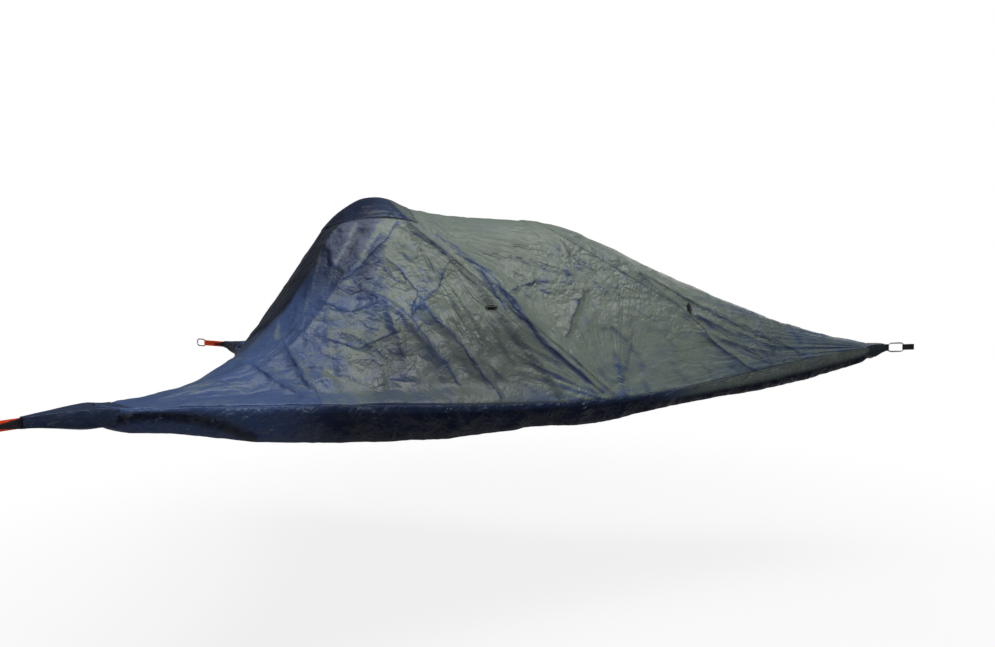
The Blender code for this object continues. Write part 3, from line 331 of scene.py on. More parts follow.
def coated_cloth(name, unlit_tone, lit_tone, dark, roughness, crumple, shine):
    """Thin coated cloth: packing creases in flat facets, a fine weave, and painted light: an unlit tone and a lit tone
    mixed by a painted lit share, then darkened toward a painted shade colour.
    """
    look = Look(name, roughness, Sheen_Weight=0.03, Sheen_Roughness=0.5, Specular_IOR_Level=shine)
    place = look.place()
    uv = look.place("UV")
    seam, run, band, loose, share, shade = map(look.paint, ("seam", "run", "band", "loose", "lit_tone", "shade"))
    mottle = look.noise(place, 3.1, 4.0, 0.6)
    fine = look.noise(place, 21.0, 4.0, 0.65, 0.6)
    share = share + (mottle - 0.5) * 0.55 + (fine - 0.5) * 0.35
    creases = []
    for scale, stretch in ((7.0, (1.0, 1.0, 0.7)), (16.0, (0.8, 1.0, 1.0)), (37.0, (1.0, 0.8, 1.0))):
        moved = look.vectors("SCALE", look.wobble(place, scale * 0.55), Scale=1.1 / scale)
        creases.append((scale, look.vectors("ADD", look.vectors("MULTIPLY", place, stretch), moved)))
    # Painted sheen: each crumpled facet gets its own lighter or darker share of the lit tone
    for scale, spot in creases[1:]:
        cell = look.part(look.node("TexVoronoi", Vector=spot, Scale=scale, Randomness=1.0, out="Color"), "X")
        share = share + (cell - 0.5) * (loose * 0.36 + 0.05)
    creased = name == "fly_cloth"
    if creased:
        pressed, fans = pressed_creases(look)
        across = look.paint("across")
        rear = across.ramp(5.0, 6.0)
        sharp = pressed.ramp(0.5, 1.0)
        # Painted shade in the sharp creases, and painted light along the ridges of the fans of creases
        share = share - sharp * (0.7 - rear * 0.5) + (fans - 0.35) * (0.3 - rear * 0.2)
        shade = shade + sharp * (across.ramp(3.2, 3.7) * 0.18 + rear * 0.22)
    # Painted light and shade: the unlit tone turns to the lit tone with the lit share, then to the dark colour with the
    # painted shade
    tone = look.mix(share.ramp(0.0, 1.0), unlit_tone, lit_tone)
    tone = look.mix(shade, tone, dark)
    stitch = run.wave(STITCH).ramp(0.45, 0.6) * (1 - (seam - STITCH_ROW).maths("ABSOLUTE").ramp(0.0004, 0.0013))
    fell = 1 - (seam - FELL).ramp(0.0, 0.0022)
    tone = look.mix((stitch * 0.5).maths("MAXIMUM", fell * 0.22), tone, scaled(dark, 0.8))
    grain = look.noise(look.stretched(uv, (60.0, 60.0, 1.0)), 1.0, 2.0)
    beside = run.wave(BAND_STITCH).ramp(0.3, 0.7) * 0.25 + grain * 0.5
    tone = look.mix(band * (beside + 0.15), tone, scaled(dark, 1.4))
    rough = look.noise(place, 8.0, 3.0).ramp(0.2, 0.8, roughness - 0.07, roughness + 0.10)
    height = None
    for (scale, spot), slope in zip(creases, (0.16, 0.24, 0.26)):
        roof = look.node("TexVoronoi", feature="DISTANCE_TO_EDGE", Vector=spot, Scale=scale, Randomness=1.0)
        roof = roof * (slope / scale) * look.noise(place, scale * 0.4, 1.0).ramp(0.35, 0.6, 0.25, 1.0)
        height = height + roof if height else roof
    soft = look.noise(place, 13.0, 4.0, 0.62, 0.5)
    pucker = look.noise(look.node("CombineXYZ", run * 42.0, seam * 12.0, 0.0), 1.0, 3.0, 0.6)
    near = 1 - seam.ramp(0.0, 0.06)
    cloth = look.bump(height * (loose * 0.85 + 0.15) * crumple + soft * 0.0015, 1.0)
    cloth = look.bump(pucker * near.maths("MAXIMUM", band * 0.9), 0.004, 0.6, cloth)
    if creased:
        cloth = look.bump(pressed * 0.0075 + fans * 0.0042, 1.0, 1.0, cloth)
    cloth = look.bump(fell.maths("MAXIMUM", band.ramp(0.3, 0.55)), 0.0010, 1.0, cloth)
    threads = look.part(uv, "X").wave(THREAD) * look.part(uv, "Y").wave(THREAD)
    return look.finish(Base_Color=tone, Roughness=rough, Normal=look.bump(threads, 0.00005, 0.5, cloth))


def webbing(name, base, dark):
    """Flat woven webbing: ribs across its length, fine threads along it, a little wear, and painted shade in the
    grooves between the ribs.
    """
    look = Look(name, 0.72, Sheen_Weight=0.06, Sheen_Roughness=0.5, Specular_IOR_Level=0.2)
    uv = look.place("UV")
    rib = look.part(uv, "Y").wave(0.0019)
    thread = look.part(uv, "X").wave(0.0012)
    wear = look.noise(look.place(), 60.0, 4.0, 0.6)
    # Wear mottles the colour; painted shade darkens the grooves between the ribs
    tone = look.mix((1 - rib) * 0.45, look.mix(wear.ramp(0.3, 0.7), base, dark), scaled(dark, 0.55))
    ribs = look.bump(rib * 0.7 + thread * 0.3, 0.0004, 0.8)
    return look.finish(Base_Color=tone, Roughness=wear.ramp(0.2, 0.8, 0.62, 0.85), Normal=ribs)


def woven_solid(name, base, dark):
    """Webbing on a solid with no map of its own: threads lie along its own axes."""
    look = Look(name, 0.75, Sheen_Weight=0.06, Specular_IOR_Level=0.2)
    place = look.place()
    rib = look.part(place, "X").wave(0.0021) * look.part(place, "Z").wave(0.0016)
    wear = look.noise(place, 45.0, 4.0, 0.6)
    tone = look.mix(wear.ramp(0.3, 0.7), base, dark)
    return look.finish(Base_Color=tone, Roughness=wear.ramp(0.2, 0.8, 0.66, 0.86), Normal=look.bump(rib, 0.0003, 0.7))


def netting(name):
    """Insect net: dark threads with gaps between them."""
    look = Look(name, 0.7, Sheen_Weight=0.2, Specular_IOR_Level=0.3)
    place = look.place()
    mottle = look.noise(place, 20.0, 3.0)
    tone = look.mix(mottle.ramp(0.3, 0.7), (0.012, 0.012, 0.013), (0.03, 0.03, 0.032))
    across, along = look.part(place, "X").wave(0.0034), look.part(place, "Y").wave(0.0034)
    threads = across.maths("MAXIMUM", along).ramp(0.45, 0.7)
    look.material.surface_render_method = "DITHERED"
    return look.finish(Base_Color=tone, Alpha=threads * 0.55 + 0.35, Normal=look.bump(threads, 0.0003, 0.8))


def metal(name, bright, dull, roughness):
    """Drawn or polished metal with fine lengthwise scratches and dulled patches."""
    look = Look(name, roughness, Metallic=1.0)
    place = look.place()
    scratch = look.noise(look.stretched(place, (40.0, 900.0, 900.0)), 1.0, 3.0, 0.6)
    patch = look.noise(place, 30.0, 3.0, 0.6)
    rough = (scratch * 0.35 + patch * 0.65).ramp(0.25, 0.75, roughness - 0.05, roughness + 0.16)
    tone = look.mix(patch.ramp(0.35, 0.7), bright, dull)
    return look.finish(Base_Color=tone, Roughness=rough, Normal=look.bump(scratch, 0.00004, 0.5))


def moulded(name, base, worn):
    """Moulded nylon: fine grain, and lighter where hands rub it."""
    look = Look(name, 0.42, Specular_IOR_Level=0.5)
    place = look.place()
    grain = look.noise(place, 900.0, 2.0, 0.6)
    rub = look.noise(place, 55.0, 3.0, 0.6)
    tone, rough = look.mix(rub.ramp(0.45, 0.75), base, worn), rub.ramp(0.3, 0.75, 0.36, 0.55)
    return look.finish(Base_Color=tone, Roughness=rough, Normal=look.bump(grain, 0.00006, 0.5))


# The fly's tone where it is not painted lit; the next colours of fly_cloth and hem_cloth are their painted lit tones
# and painted shade colours
UNLIT_BLUE = (0.043, 0.080, 0.195)
BLACK = (0.005, 0.005, 0.006), (0.014, 0.014, 0.015)
looks = {
    "fly": coated_cloth("fly_cloth", UNLIT_BLUE, (0.134, 0.164, 0.136), (0.004, 0.008, 0.020), 0.42, 1.0, 0.34),
    "hem": coated_cloth("hem_cloth", UNLIT_BLUE, (0.090, 0.110, 0.098), (0.0004, 0.0024, 0.0110), 0.33, 1.6, 0.20),
    "floor": coated_cloth(
        "floor_cloth", (0.030, 0.034, 0.040), (0.046, 0.050, 0.054), (0.012, 0.013, 0.016), 0.62, 0.4, 0.3,
    ),
    "orange": webbing("orange_webbing", (0.95, 0.085, 0.008), (0.78, 0.050, 0.006)),
    "black": webbing("black_webbing", *BLACK),
    "black_solid": woven_solid("black_webbing_plain", *BLACK),
    "net": netting("insect_net"),
    "pole": metal("pole_alloy", (0.66, 0.67, 0.69), (0.48, 0.49, 0.51), 0.28),
    "steel": metal("link_steel", (0.62, 0.62, 0.61), (0.36, 0.36, 0.35), 0.26),
    "nylon": moulded("black_nylon", (0.012, 0.012, 0.013), (0.035, 0.035, 0.037)),
    "tape": webbing("zip_tape", (0.012, 0.012, 0.014), (0.024, 0.024, 0.026)),
}


# ---- The tent's lines. Each takes an array of shares and gives an array of points.
def smooth(share):
    share = np.clip(share, 0.0, 1.0)
    return share * share * (3 - 2 * share)


def rise(value, start, width):
    """0 up to a start, 1 from a width past it."""
    return smooth((value - start) / width)


def fall(value, end, width):
    """1 up to a width before an end, 0 from there."""
    return smooth((end - value) / width)


def run_lengths(line):
    """How far along a line of points each of them lies."""
    return np.concatenate([[0], np.cumsum(np.linalg.norm(np.diff(line, axis=0), axis=1))])


def at(x, y, z):
    return np.stack(np.broadcast_arrays(np.asarray(x, float), y, z), -1)


def unit(vectors):
    return vectors / np.maximum(np.linalg.norm(vectors, axis=-1, keepdims=True), 1e-12)


def rounded(places, values, shares):
    """Values on a smooth curve through known ones."""
    found = []
    for share in shares:
        k = 0
        while k < len(places) - 2 and places[k + 1] < share:
            k += 1
        first = max(k - 1, 0)
        last = min(k + 2, len(places) - 1)
        width = places[k + 1] - places[k]
        t = (share - places[k]) / width
        slope = (values[k + 1] - values[first]) / (places[k + 1] - places[first]) * width
        after = (values[last] - values[k]) / (places[last] - places[k]) * width
        found.append(
            values[k] * (2 * t**3 - 3 * t**2 + 1) + slope * (t**3 - 2 * t**2 + t)
            + values[k + 1] * (3 * t**2 - 2 * t**3) + after * (t**3 - t**2)
        )
    return np.array(found)


def head_edge(share):
    left = 1 - share * share
    return at(HEAD_BOW * left, -WIDTH / 2 * share, -HEAD_SAG * left * left)


RIGHT_CORNER = np.array([0.0, -WIDTH / 2, 0.0])
TAIL_CORNER = np.array([LENGTH, 0.0, 0.0])
SIDE_RUN = float(np.linalg.norm(TAIL_CORNER - RIGHT_CORNER))
HEAD_RUN = WIDTH / 2


def side_edge(share):
    run = TAIL_CORNER - RIGHT_CORNER
    inward = unit(np.array([-run[1], run[0], 0.0]))
    sag = np.where(share < MAIN_FOOT, smooth(share / MAIN_FOOT), smooth((1 - share) / (1 - MAIN_FOOT)))
    bow = SIDE_BOW * 4 * share * (1 - share)
    return RIGHT_CORNER + share[:, None] * run + bow[:, None] * inward - (SIDE_SAG * sag)[:, None] * UP


def outward(curve, share):
    """The level way out of the tent, square to an edge."""
    reach = 0.5 / EDGE_STEPS
    run = curve(np.minimum(share + reach, 1)) - curve(np.maximum(share - reach, 0))
    square = unit(at(run[:, 1], -run[:, 0], 0.0))
    middle = np.array([LENGTH / 3, 0.0, 0.0])
    square[((curve(share) - middle) * square).sum(1) < 0] *= -1
    return square


def one(curve, share):
    """A single point of a curve."""
    return curve(np.array([share]))[0]


STEP = 1 / EDGE_STEPS
PULL = unit(one(side_edge, 0.0) - one(side_edge, STEP)) + unit(one(head_edge, 1.0) - one(head_edge, 1 - STEP))
PULL[2] = 0
PULL = unit(PULL)
ACROSS = np.cross(UP, PULL)


def by_corner(along, across=0.0, height=0.0):
    """A point beside the right head corner: along its pull, across it and above it."""
    return RIGHT_CORNER + PULL * along + ACROSS * across + UP * height


def rim(curve, share, start, end, out, height):
    """Points along an edge between distances from its ends, moved out and up."""
    run = SIDE_RUN if curve is side_edge else HEAD_RUN
    first = start / run
    along = first + (1 - end / run - first) * share
    return curve(along) + outward(curve, along) * out + UP * height


HEAD_TIP_POINT = by_corner(-HEAD_TIP[0], 0, HEAD_TIP[1])
TAIL_TIP_POINT = np.array([LENGTH - TAIL_TIP[0], -0.012, TAIL_TIP[1]])


def toward(start, end, share):
    return start + (end - start) * share[:, None]


def fly_side_edge(share):
    point = rim(side_edge, share, HEAD_TIP[0], TAIL_TIP[0], EDGE_OUT, EDGE_RISE)
    run = SIDE_RUN - HEAD_TIP[0] - TAIL_TIP[0]
    point = toward(HEAD_TIP_POINT, point, smooth(share * run / TIP_BLEND))
    return toward(TAIL_TIP_POINT, point, smooth((1 - share) * run / TIP_BLEND))


def fly_head_edge(share):
    point = rim(head_edge, share, 0, HEAD_TIP[0], EDGE_OUT, EDGE_RISE)
    return toward(HEAD_TIP_POINT, point, smooth((1 - share) * HEAD_RUN / TIP_BLEND))


def foot_share(foot):
    """The place of a hoop's foot along the fly's side edge."""
    return (foot * SIDE_RUN - HEAD_TIP[0]) / (SIDE_RUN - HEAD_TIP[0] - TAIL_TIP[0])


MAIN_SHARE, REAR_SHARE = foot_share(MAIN_FOOT), foot_share(REAR_FOOT)


def hoop(crown, foot, turn):
    """A quarter of an ellipse from a crown to a foot."""
    angle = turn * math.pi / 2
    high = np.cos(angle)
    return at(
        foot[0] + (crown[0] - foot[0]) * high, foot[1] * np.sin(angle), foot[2] + (crown[1] - foot[2]) * high
    )


def main_hoop(turn):
    return hoop(MAIN_CROWN, one(fly_side_edge, MAIN_SHARE), turn)


def rear_hoop(turn):
    return hoop(REAR_CROWN, one(fly_side_edge, REAR_SHARE), turn)


# Where the seam between a nose panel and a side panel meets the hoop, the cloth's columns and the
# head edge, and the share of it that runs straight
PANEL_TURN = math.asin(0.21 / abs(one(fly_side_edge, MAIN_SHARE)[1])) / (math.pi / 2)
PANEL_SHARE = 7 / 17
PANEL_FOOT = 0.45 / HEAD_RUN
STRAIGHT = (0.2, 0.76)


def bend(start, handle, end, share):
    """A soft bend between two points, pulled toward a handle."""
    return toward(toward(start, handle, share), toward(handle, end, share), share)


def nose_line(share):
    """The middle line of the nose, where the zip runs: bent, straight, and bent again."""
    low, high = STRAIGHT
    foot = np.array([0.55, 0.0, 0.222])
    top = np.array([0.875, 0.0, 0.69])
    first = bend(one(fly_head_edge, 0.0), np.array([0.455, 0.0, 0.12]), foot, np.clip(share / low, 0, 1))
    second = toward(foot, top, np.clip((share - low) / (high - low), 0, 1))
    last = np.clip((share - high) / (1 - high), 0, 1)
    third = bend(top, np.array([0.99, 0.0, 0.8463]), one(main_hoop, 0.0), last)
    return np.where((share <= low)[:, None], first, np.where((share <= high)[:, None], second, third))


def panel_line(share):
    """The seam between a nose panel and a side panel."""
    low, high = STRAIGHT
    knots = np.array([
        one(fly_head_edge, PANEL_FOOT), (0.80, -0.34, 0.40), (0.99, -0.21, 0.715), one(main_hoop, PANEL_TURN)
    ])
    first = np.stack([rounded((0.0, (low + high) / 2, high, 1.0), knots[:, k], share) for k in range(3)], -1)
    top, end = knots[2:]
    handle = top + (end - top) * 0.4 + UP * (end[2] - top[2] + 0.21) / 6
    second = bend(top, handle, end, np.clip((share - high) / (1 - high), 0, 1))
    return np.where((share <= high)[:, None], first, second)


def ridge(start, end, places, heights, share):
    """The fly's middle line from one point to another, through known heights."""
    height = rounded((0.0, *places, 1.0), (start[2], *heights, end[2]), share)
    return at(start[0] + (end[0] - start[0]) * share, 0.0, height)


def coons(bottom, top, inner, outer, u, v):
    """A patch between four lines of points."""
    u = u[:, None, None]
    v = v[None, :, None]
    across = bottom[None] * (1 - u) + top[None] * u
    along = inner[:, None] * (1 - v) + outer[:, None] * v
    corners = (bottom[0] * (1 - v) + bottom[-1] * v) * (1 - u) + (top[0] * (1 - v) + top[-1] * v) * u
    return across + along - corners


# ---- How finely the cloth is divided
FRONT_ROWS = np.linspace(0, 1, 171)
MIDDLE_ROWS = np.linspace(0, 1, 96)
TAIL_ROWS = np.linspace(0, 1, 156)
PANEL_COLUMNS = np.linspace(0, 1, 31)
LEG_COLUMNS = np.linspace(0, 1, 93)
ALL_COLUMNS = np.concatenate([PANEL_COLUMNS * PANEL_SHARE, PANEL_SHARE + LEG_COLUMNS[1:] * (1 - PANEL_SHARE)])


def hoop_turn(columns):
    return np.interp(columns, (0, PANEL_SHARE, 1), (0, PANEL_TURN, 1))


def front_half():
    """The right nose panel, from the zip to the side panel's seam."""
    u, v = FRONT_ROWS, PANEL_COLUMNS

    def swept(rows):
        middle = nose_line(rows)[:, None]
        run = panel_line(rows)[:, None] - middle
        share = v[None, :, None]
        return middle + run * np.concatenate([share**2, share, share**2], -1)

    grid = swept(u)
    low = (1 - np.clip(u / STRAIGHT[0], 0, 1))[:, None, None] ** 2
    high = np.clip((u - STRAIGHT[1]) / (1 - STRAIGHT[1]), 0, 1)[:, None, None] ** 2
    grid += low * (fly_head_edge(v * PANEL_FOOT)[None] - swept(np.array([0.0])))
    grid += high * (main_hoop(v * PANEL_TURN)[None] - swept(np.array([1.0])))
    return grid


# How much the side panels swell before the hoop, and where on their rows the most
LEG_SWELL = 0.03
SWELL_PLACE = 0.14


def side_half():
    """The right side panel, from the nose panel's seam to the side edge."""
    u, v = FRONT_ROWS, LEG_COLUMNS
    grid = coons(
        fly_head_edge(PANEL_FOOT + (1 - PANEL_FOOT) * v), main_hoop(PANEL_TURN + (1 - PANEL_TURN) * v),
        panel_line(u), fly_side_edge(u * MAIN_SHARE), u, v,
    )
    swell = LEG_SWELL * u / SWELL_PLACE * np.exp(1 - u / SWELL_PLACE) * smooth(4 * (1 - u))
    grid[:, :, 2] += swell[:, None] * np.sin(math.pi * v)[None]
    return grid


def middle_half():
    u, v = MIDDLE_ROWS, ALL_COLUMNS
    top = ridge(one(main_hoop, 0.0), one(rear_hoop, 0.0), (0.12, 0.24, 0.52, 0.8), (0.81, 0.777, 0.745, 0.735), u)
    side = fly_side_edge(MAIN_SHARE + (REAR_SHARE - MAIN_SHARE) * u)
    return coons(main_hoop(hoop_turn(v)), rear_hoop(v), top, side, u, v)


def tail_half():
    u, v = TAIL_ROWS, ALL_COLUMNS
    middle = TAIL_TIP_POINT * np.array([1, 0, 1])
    top = ridge(
        one(rear_hoop, 0.0), middle, (0.084, 0.22, 0.32, 0.44, 0.566, 0.683, 0.81, 0.93),
        (0.677, 0.568, 0.472, 0.37, 0.257, 0.168, 0.099, 0.045), u,
    )
    tip = middle[None] + (TAIL_TIP_POINT - middle)[None] * v[:, None]
    return coons(rear_hoop(v), tip, top, fly_side_edge(REAR_SHARE + (1 - REAR_SHARE) * u), u, v)


# ---- The hem
HEM_PLACES = (0.0, 0.03, 0.075, 0.135, 0.18, 0.26, 0.345, 0.41, 0.47, 0.55, 0.62, 0.71, 0.79, 0.89, 0.97, 1.0)
HEM_DROPS = (0.58, 0.66, 0.8, 1.08, 1.17, 1.2, 1.15, 1.0, 0.85, 0.85, 0.66, 0.62, 0.78, 0.8, 0.6, 0.3)
HEM_FALLS = np.array([0, 0.035, 0.09, 0.16, 0.25, 0.36, 0.48, 0.61, 0.74, 0.85, 0.93, 0.985, 1.0, 0.99, 0.965])
HEM_OUTS = np.array([0, 0.28, 0.5, 0.68, 0.84, 0.95, 1.0, 0.98, 0.9, 0.72, 0.45, 0.05, -0.5, -1.15, -1.9])


def hem(edge, outs, drops, seed):
    """Rows down a hem that swells, hangs in soft folds and curls in at its foot."""
    length = run_lengths(edge)
    full = np.minimum(drops / HEM_DROP, 1)
    sag = np.array([0.006 * noise.noise((s * 5.0, seed, 3.3)) for s in length])
    rows = []
    for down, swell in zip(HEM_FALLS, HEM_OUTS):
        wave = np.array([
            0.011 * noise.noise((s * 7.5, down * 0.7, seed)) + 0.011 * noise.noise((s * 17, down * 1.3, seed + 5))
            + 0.007 * (0.5 - abs(noise.noise((s * 29, down * 1.6, seed + 9)) * 2)) for s in length
        ]) * min(down * 1.6, 1.0)
        out = HEM_BULGE * swell * full + wave * full
        rows.append(edge + outs * out[:, None] - UP * (drops * down + sag * down * full)[:, None])
    return np.array(rows)


def side_hem():
    shares = np.concatenate([
        FRONT_ROWS * MAIN_SHARE, MAIN_SHARE + (REAR_SHARE - MAIN_SHARE) * MIDDLE_ROWS[1:],
        REAR_SHARE + (1 - REAR_SHARE) * TAIL_ROWS[1:],
    ])
    along = (HEAD_TIP[0] + (SIDE_RUN - HEAD_TIP[0] - TAIL_TIP[0]) * shares) / SIDE_RUN
    drops = HEM_DROP * rounded(HEM_PLACES, HEM_DROPS, shares)
    return hem(fly_side_edge(shares), outward(side_edge, along), drops, 1.7)


def head_hem():
    shares = np.concatenate([PANEL_COLUMNS * PANEL_FOOT, PANEL_FOOT + LEG_COLUMNS[1:] * (1 - PANEL_FOOT)])
    drops = 0.09 * smooth(2.5 * (1 - shares) + 0.35)
    return hem(fly_head_edge(shares), outward(head_edge, shares), drops, 8.2)


# ---- Folds of the fly, by where they show in the picture: height, width to each side, points
FOLDS = (
    (0.010, 5, 5, ((451, 247), (487, 267), (504, 288), (528, 320), (549, 346), (602, 390))),
    (0.007, 3, 8, ((399, 223), (372, 250), (352, 270), (336, 284))),
    (0.007, 8, 3, ((412, 231), (390, 256), (364, 289))),
    (-0.006, 3, 3, ((336, 284), (351, 294), (364, 288))),
    (0.008, 4, 9, ((364, 289), (379, 296), (404, 315), (418, 331), (439, 358), (458, 384))),
    (0.008, 4, 8, ((419, 297), (437, 319), (460, 342), (478, 362), (500, 400))),
    (-0.005, 3, 3, ((366, 223), (353, 241), (345, 262))),
    (-0.004, 3, 3, ((385, 221), (373, 240), (360, 262))),
    (-0.006, 5, 5, ((523, 285), (534, 284), (547, 281))),
    (0.006, 4, 4, ((583, 290), (575, 312), (566, 335))),
    (0.005, 4, 4, ((604, 296), (590, 318), (577, 348))),
    (0.006, 4, 7, ((598, 236), (622, 258), (652, 284), (680, 306), (720, 328), (760, 345))),
    (0.005, 4, 5, ((625, 261), (676, 294), (722, 314), (782, 343))),
    (0.005, 4, 5, ((685, 309), (746, 336), (794, 355))),
    (-0.006, 4, 4, ((129, 422), (149, 416), (175, 415), (200, 416), (219, 420), (239, 431), (251, 437))),
    (0.007, 5, 5, ((437, 243), (470, 262), (512, 300), (540, 318))),
    (0.005, 4, 4, ((440, 236), (486, 250), (540, 262), (596, 282))),
    (0.005, 4, 4, ((436, 229), (480, 238), (530, 246), (566, 258))),
    (-0.008, 5, 5, ((616, 414), (613, 400), (606, 386), (592, 366))),
    (0.007, 4, 4, ((606, 412), (596, 392), (580, 366), (566, 340))),
    (0.007, 4, 4, ((624, 410), (626, 390), (622, 366), (612, 338))),
    (0.006, 5, 5, ((120, 408), (170, 396), (230, 374), (280, 350))),
    (0.006, 5, 5, ((150, 410), (220, 402), (300, 386), (360, 372))),
    (-0.005, 5, 5, ((200, 404), (262, 390), (330, 384))),
    (0.005, 5, 5, ((250, 378), (300, 340), (330, 300), (350, 262))),
    (0.006, 4, 6, ((300, 352), (318, 336), (345, 330), (372, 344), (398, 366))),
    (-0.006, 4, 4, ((262, 372), (300, 366), (330, 372), (352, 384))),
    (0.006, 4, 6, ((384, 300), (398, 332), (408, 362), (404, 392))),
    (0.005, 3, 6, ((440, 300), (456, 318), (470, 346), (498, 372), (520, 392))),
    (0.004, 4, 4, ((535, 226), (560, 250), (590, 276), (640, 318))),
    (0.004, 4, 4, ((700, 330), (740, 346), (790, 356))),
    (0.007, 3, 7, ((283, 340), (300, 368), (322, 407))),
    (0.006, 4, 4, ((246, 360), (284, 384), (322, 407))),
    (0.004, 3, 5, ((190, 394), (255, 398), (322, 409))),
    (0.006, 2, 5, ((410, 231), (436, 243), (450, 258))),
    (0.007, 2, 5, ((450, 258), (436, 288), (412, 318))),
    (-0.005, 2, 3, ((424, 240), (418, 262), (424, 288), (412, 304))),
    (-0.004, 2, 3, ((436, 252), (426, 272), (430, 290))),
    (-0.004, 2, 2, ((398, 250), (408, 262), (420, 268))),
    (-0.004, 2, 2, ((384, 272), (396, 282), (410, 284))),
    (0.006, 2, 4, ((480, 300), (484, 330), (478, 362))),
    (0.005, 2, 4, ((492, 312), (502, 342), (520, 372))),
    (-0.005, 2, 3, ((512, 290), (524, 284), (536, 288), (548, 280))),
    (0.005, 2, 4, ((560, 262), (572, 276), (584, 300))),
    (-0.004, 2, 3, ((566, 244), (574, 258), (590, 268))),
    (-0.004, 2, 3, ((600, 252), (614, 268), (634, 284))),
    (0.005, 2, 4, ((684, 312), (700, 330), (726, 352), (756, 372))),
    (0.004, 2, 4, ((700, 306), (744, 330), (800, 352))),
)

# Where the cloth is crumpled: places in the picture, half widths, amounts
LOOSE = (
    (430, 268, 32, 56, 0.9), (388, 285, 44, 36, 0.5), (345, 345, 70, 42, 0.5), (412, 222, 14, 14, 0.9),
    (395, 365, 60, 34, 0.35), (575, 262, 44, 34, 0.8), (625, 290, 48, 30, 0.6), (530, 282, 40, 16, 0.55),
    (690, 318, 46, 22, 0.4), (612, 398, 40, 16, 0.7), (470, 300, 26, 40, 0.4),
)
PLAIN_LOOSE = 0.22

# The folds' share on the hems, and how far from the poles, the toggles and the zip they die out
HEM_FOLDS = 0.5
OVER_POLE = 0.03
BESIDE_TOGGLE = 0.042
BESIDE_ZIP = 0.06

# Fans of small folds: where they start, the angles that they cover, their reach, height and count
FANS = (
    ((415, 229), (5, 75), (24, 190), 0.0070, 9.0, 1.3),
    ((405, 226), (95, 160), (22, 150), 0.0050, 7.0, 2.9),
    ((617, 404), (185, 300), (20, 150), 0.0070, 6.5, 4.1),
    ((84, 414), (-50, 8), (40, 330), 0.0090, 12.0, 5.3),
    ((884, 348), (168, 212), (30, 260), 0.0045, 16.0, 6.7),
    ((775, 366), (185, 290), (12, 90), 0.0045, 6.0, 7.9),
    ((535, 222), (20, 150), (16, 120), 0.0040, 7.0, 9.1),
    ((330, 221), (100, 150), (20, 160), 0.0040, 7.0, 10.3),
)


def looseness(seen):
    """How crumpled the cloth is at places in the picture, from 0 to 1."""
    loose = np.full(seen.shape[:-1], PLAIN_LOOSE)
    for x, y, wide, tall, amount in LOOSE:
        away = ((seen[..., 0] - x) / wide) ** 2 + ((seen[..., 1] - y) / tall) ** 2
        loose = loose + amount * np.exp(-away)
    return np.clip(loose, 0, 1)


def beside_line(seen, line):
    """Distance in the picture from a line, distance along it, and which side of it a point is on."""
    best = np.full(seen.shape[:-1], 1e9)
    side, place = np.zeros((2, *best.shape))
    line = np.array(line, float)
    done = run_lengths(line)
    for k, (a, b) in enumerate(zip(line, line[1:])):
        run = b - a
        t = np.clip(((seen - a) @ run) / (run @ run), 0, 1)
        off = seen - (a + t[..., None] * run)
        far = np.hypot(off[..., 0], off[..., 1])
        nearer = far < best
        best = np.where(nearer, far, best)
        side = np.where(nearer, run[0] * off[..., 1] - run[1] * off[..., 0], side)
        place = np.where(nearer, done[k] + t * (done[k + 1] - done[k]), place)
    return best, place, side


def softened(line):
    """A line of points with its corners rounded."""
    line = np.array(line, float)
    knots = [line[0]]
    for a, b in zip(line, line[1:]):
        knots += [a + (b - a) * t for t in (0.25, 0.5, 0.75, 1.0)]
    knots = np.array(knots)
    padded = np.concatenate([knots[:1]] * 2 + [knots] + [knots[-1:]] * 2)
    return np.stack([np.convolve(padded[:, k], np.array([1, 2, 3, 2, 1]) / 9, "valid") for k in range(2)], 1)


def fold_lift(seen):
    """How far the long folds lift the cloth at places in the picture."""
    lift = np.zeros(len(seen))
    for height, left, right, line in FOLDS:
        knots = softened(line)
        far, place, side = beside_line(seen, knots)
        length = run_lengths(knots)[-1]
        width = np.where(side > 0, right, left)
        fade = smooth(place / (0.22 * length)) * smooth((length - place) / (0.22 * length))
        lift += 1.3 * height * fade * np.exp(-(far / (0.75 * width)) ** 1.2)
    return lift


def add_fans(lift, seen):
    """Adds the fans of small folds."""
    for start, (first, last), (near, reach), height, count, seed in FANS:
        run = seen - np.array(start, float)
        far = np.hypot(run[:, 0], run[:, 1])
        angle = np.degrees(np.arctan2(run[:, 1], run[:, 0]))
        angle = (angle - (first + last) / 2 + 180) % 360 - 180
        spread = (last - first) / 2
        inside = smooth((spread - abs(angle)) / (0.3 * spread)) * smooth((far - near * 0.3) / near)
        inside *= smooth((reach - far) / (0.6 * reach))
        for k in np.nonzero(inside > 0.001)[0]:
            turn = math.radians(angle[k]) * count
            wave = noise.noise((turn, far[k] / reach * 1.7, seed))
            wave += 0.5 * noise.noise((turn * 2.1, far[k] / reach * 3, seed + 3))
            lift[k] += height * inside[k] * (1 - abs(wave) * 2.6) * 0.5


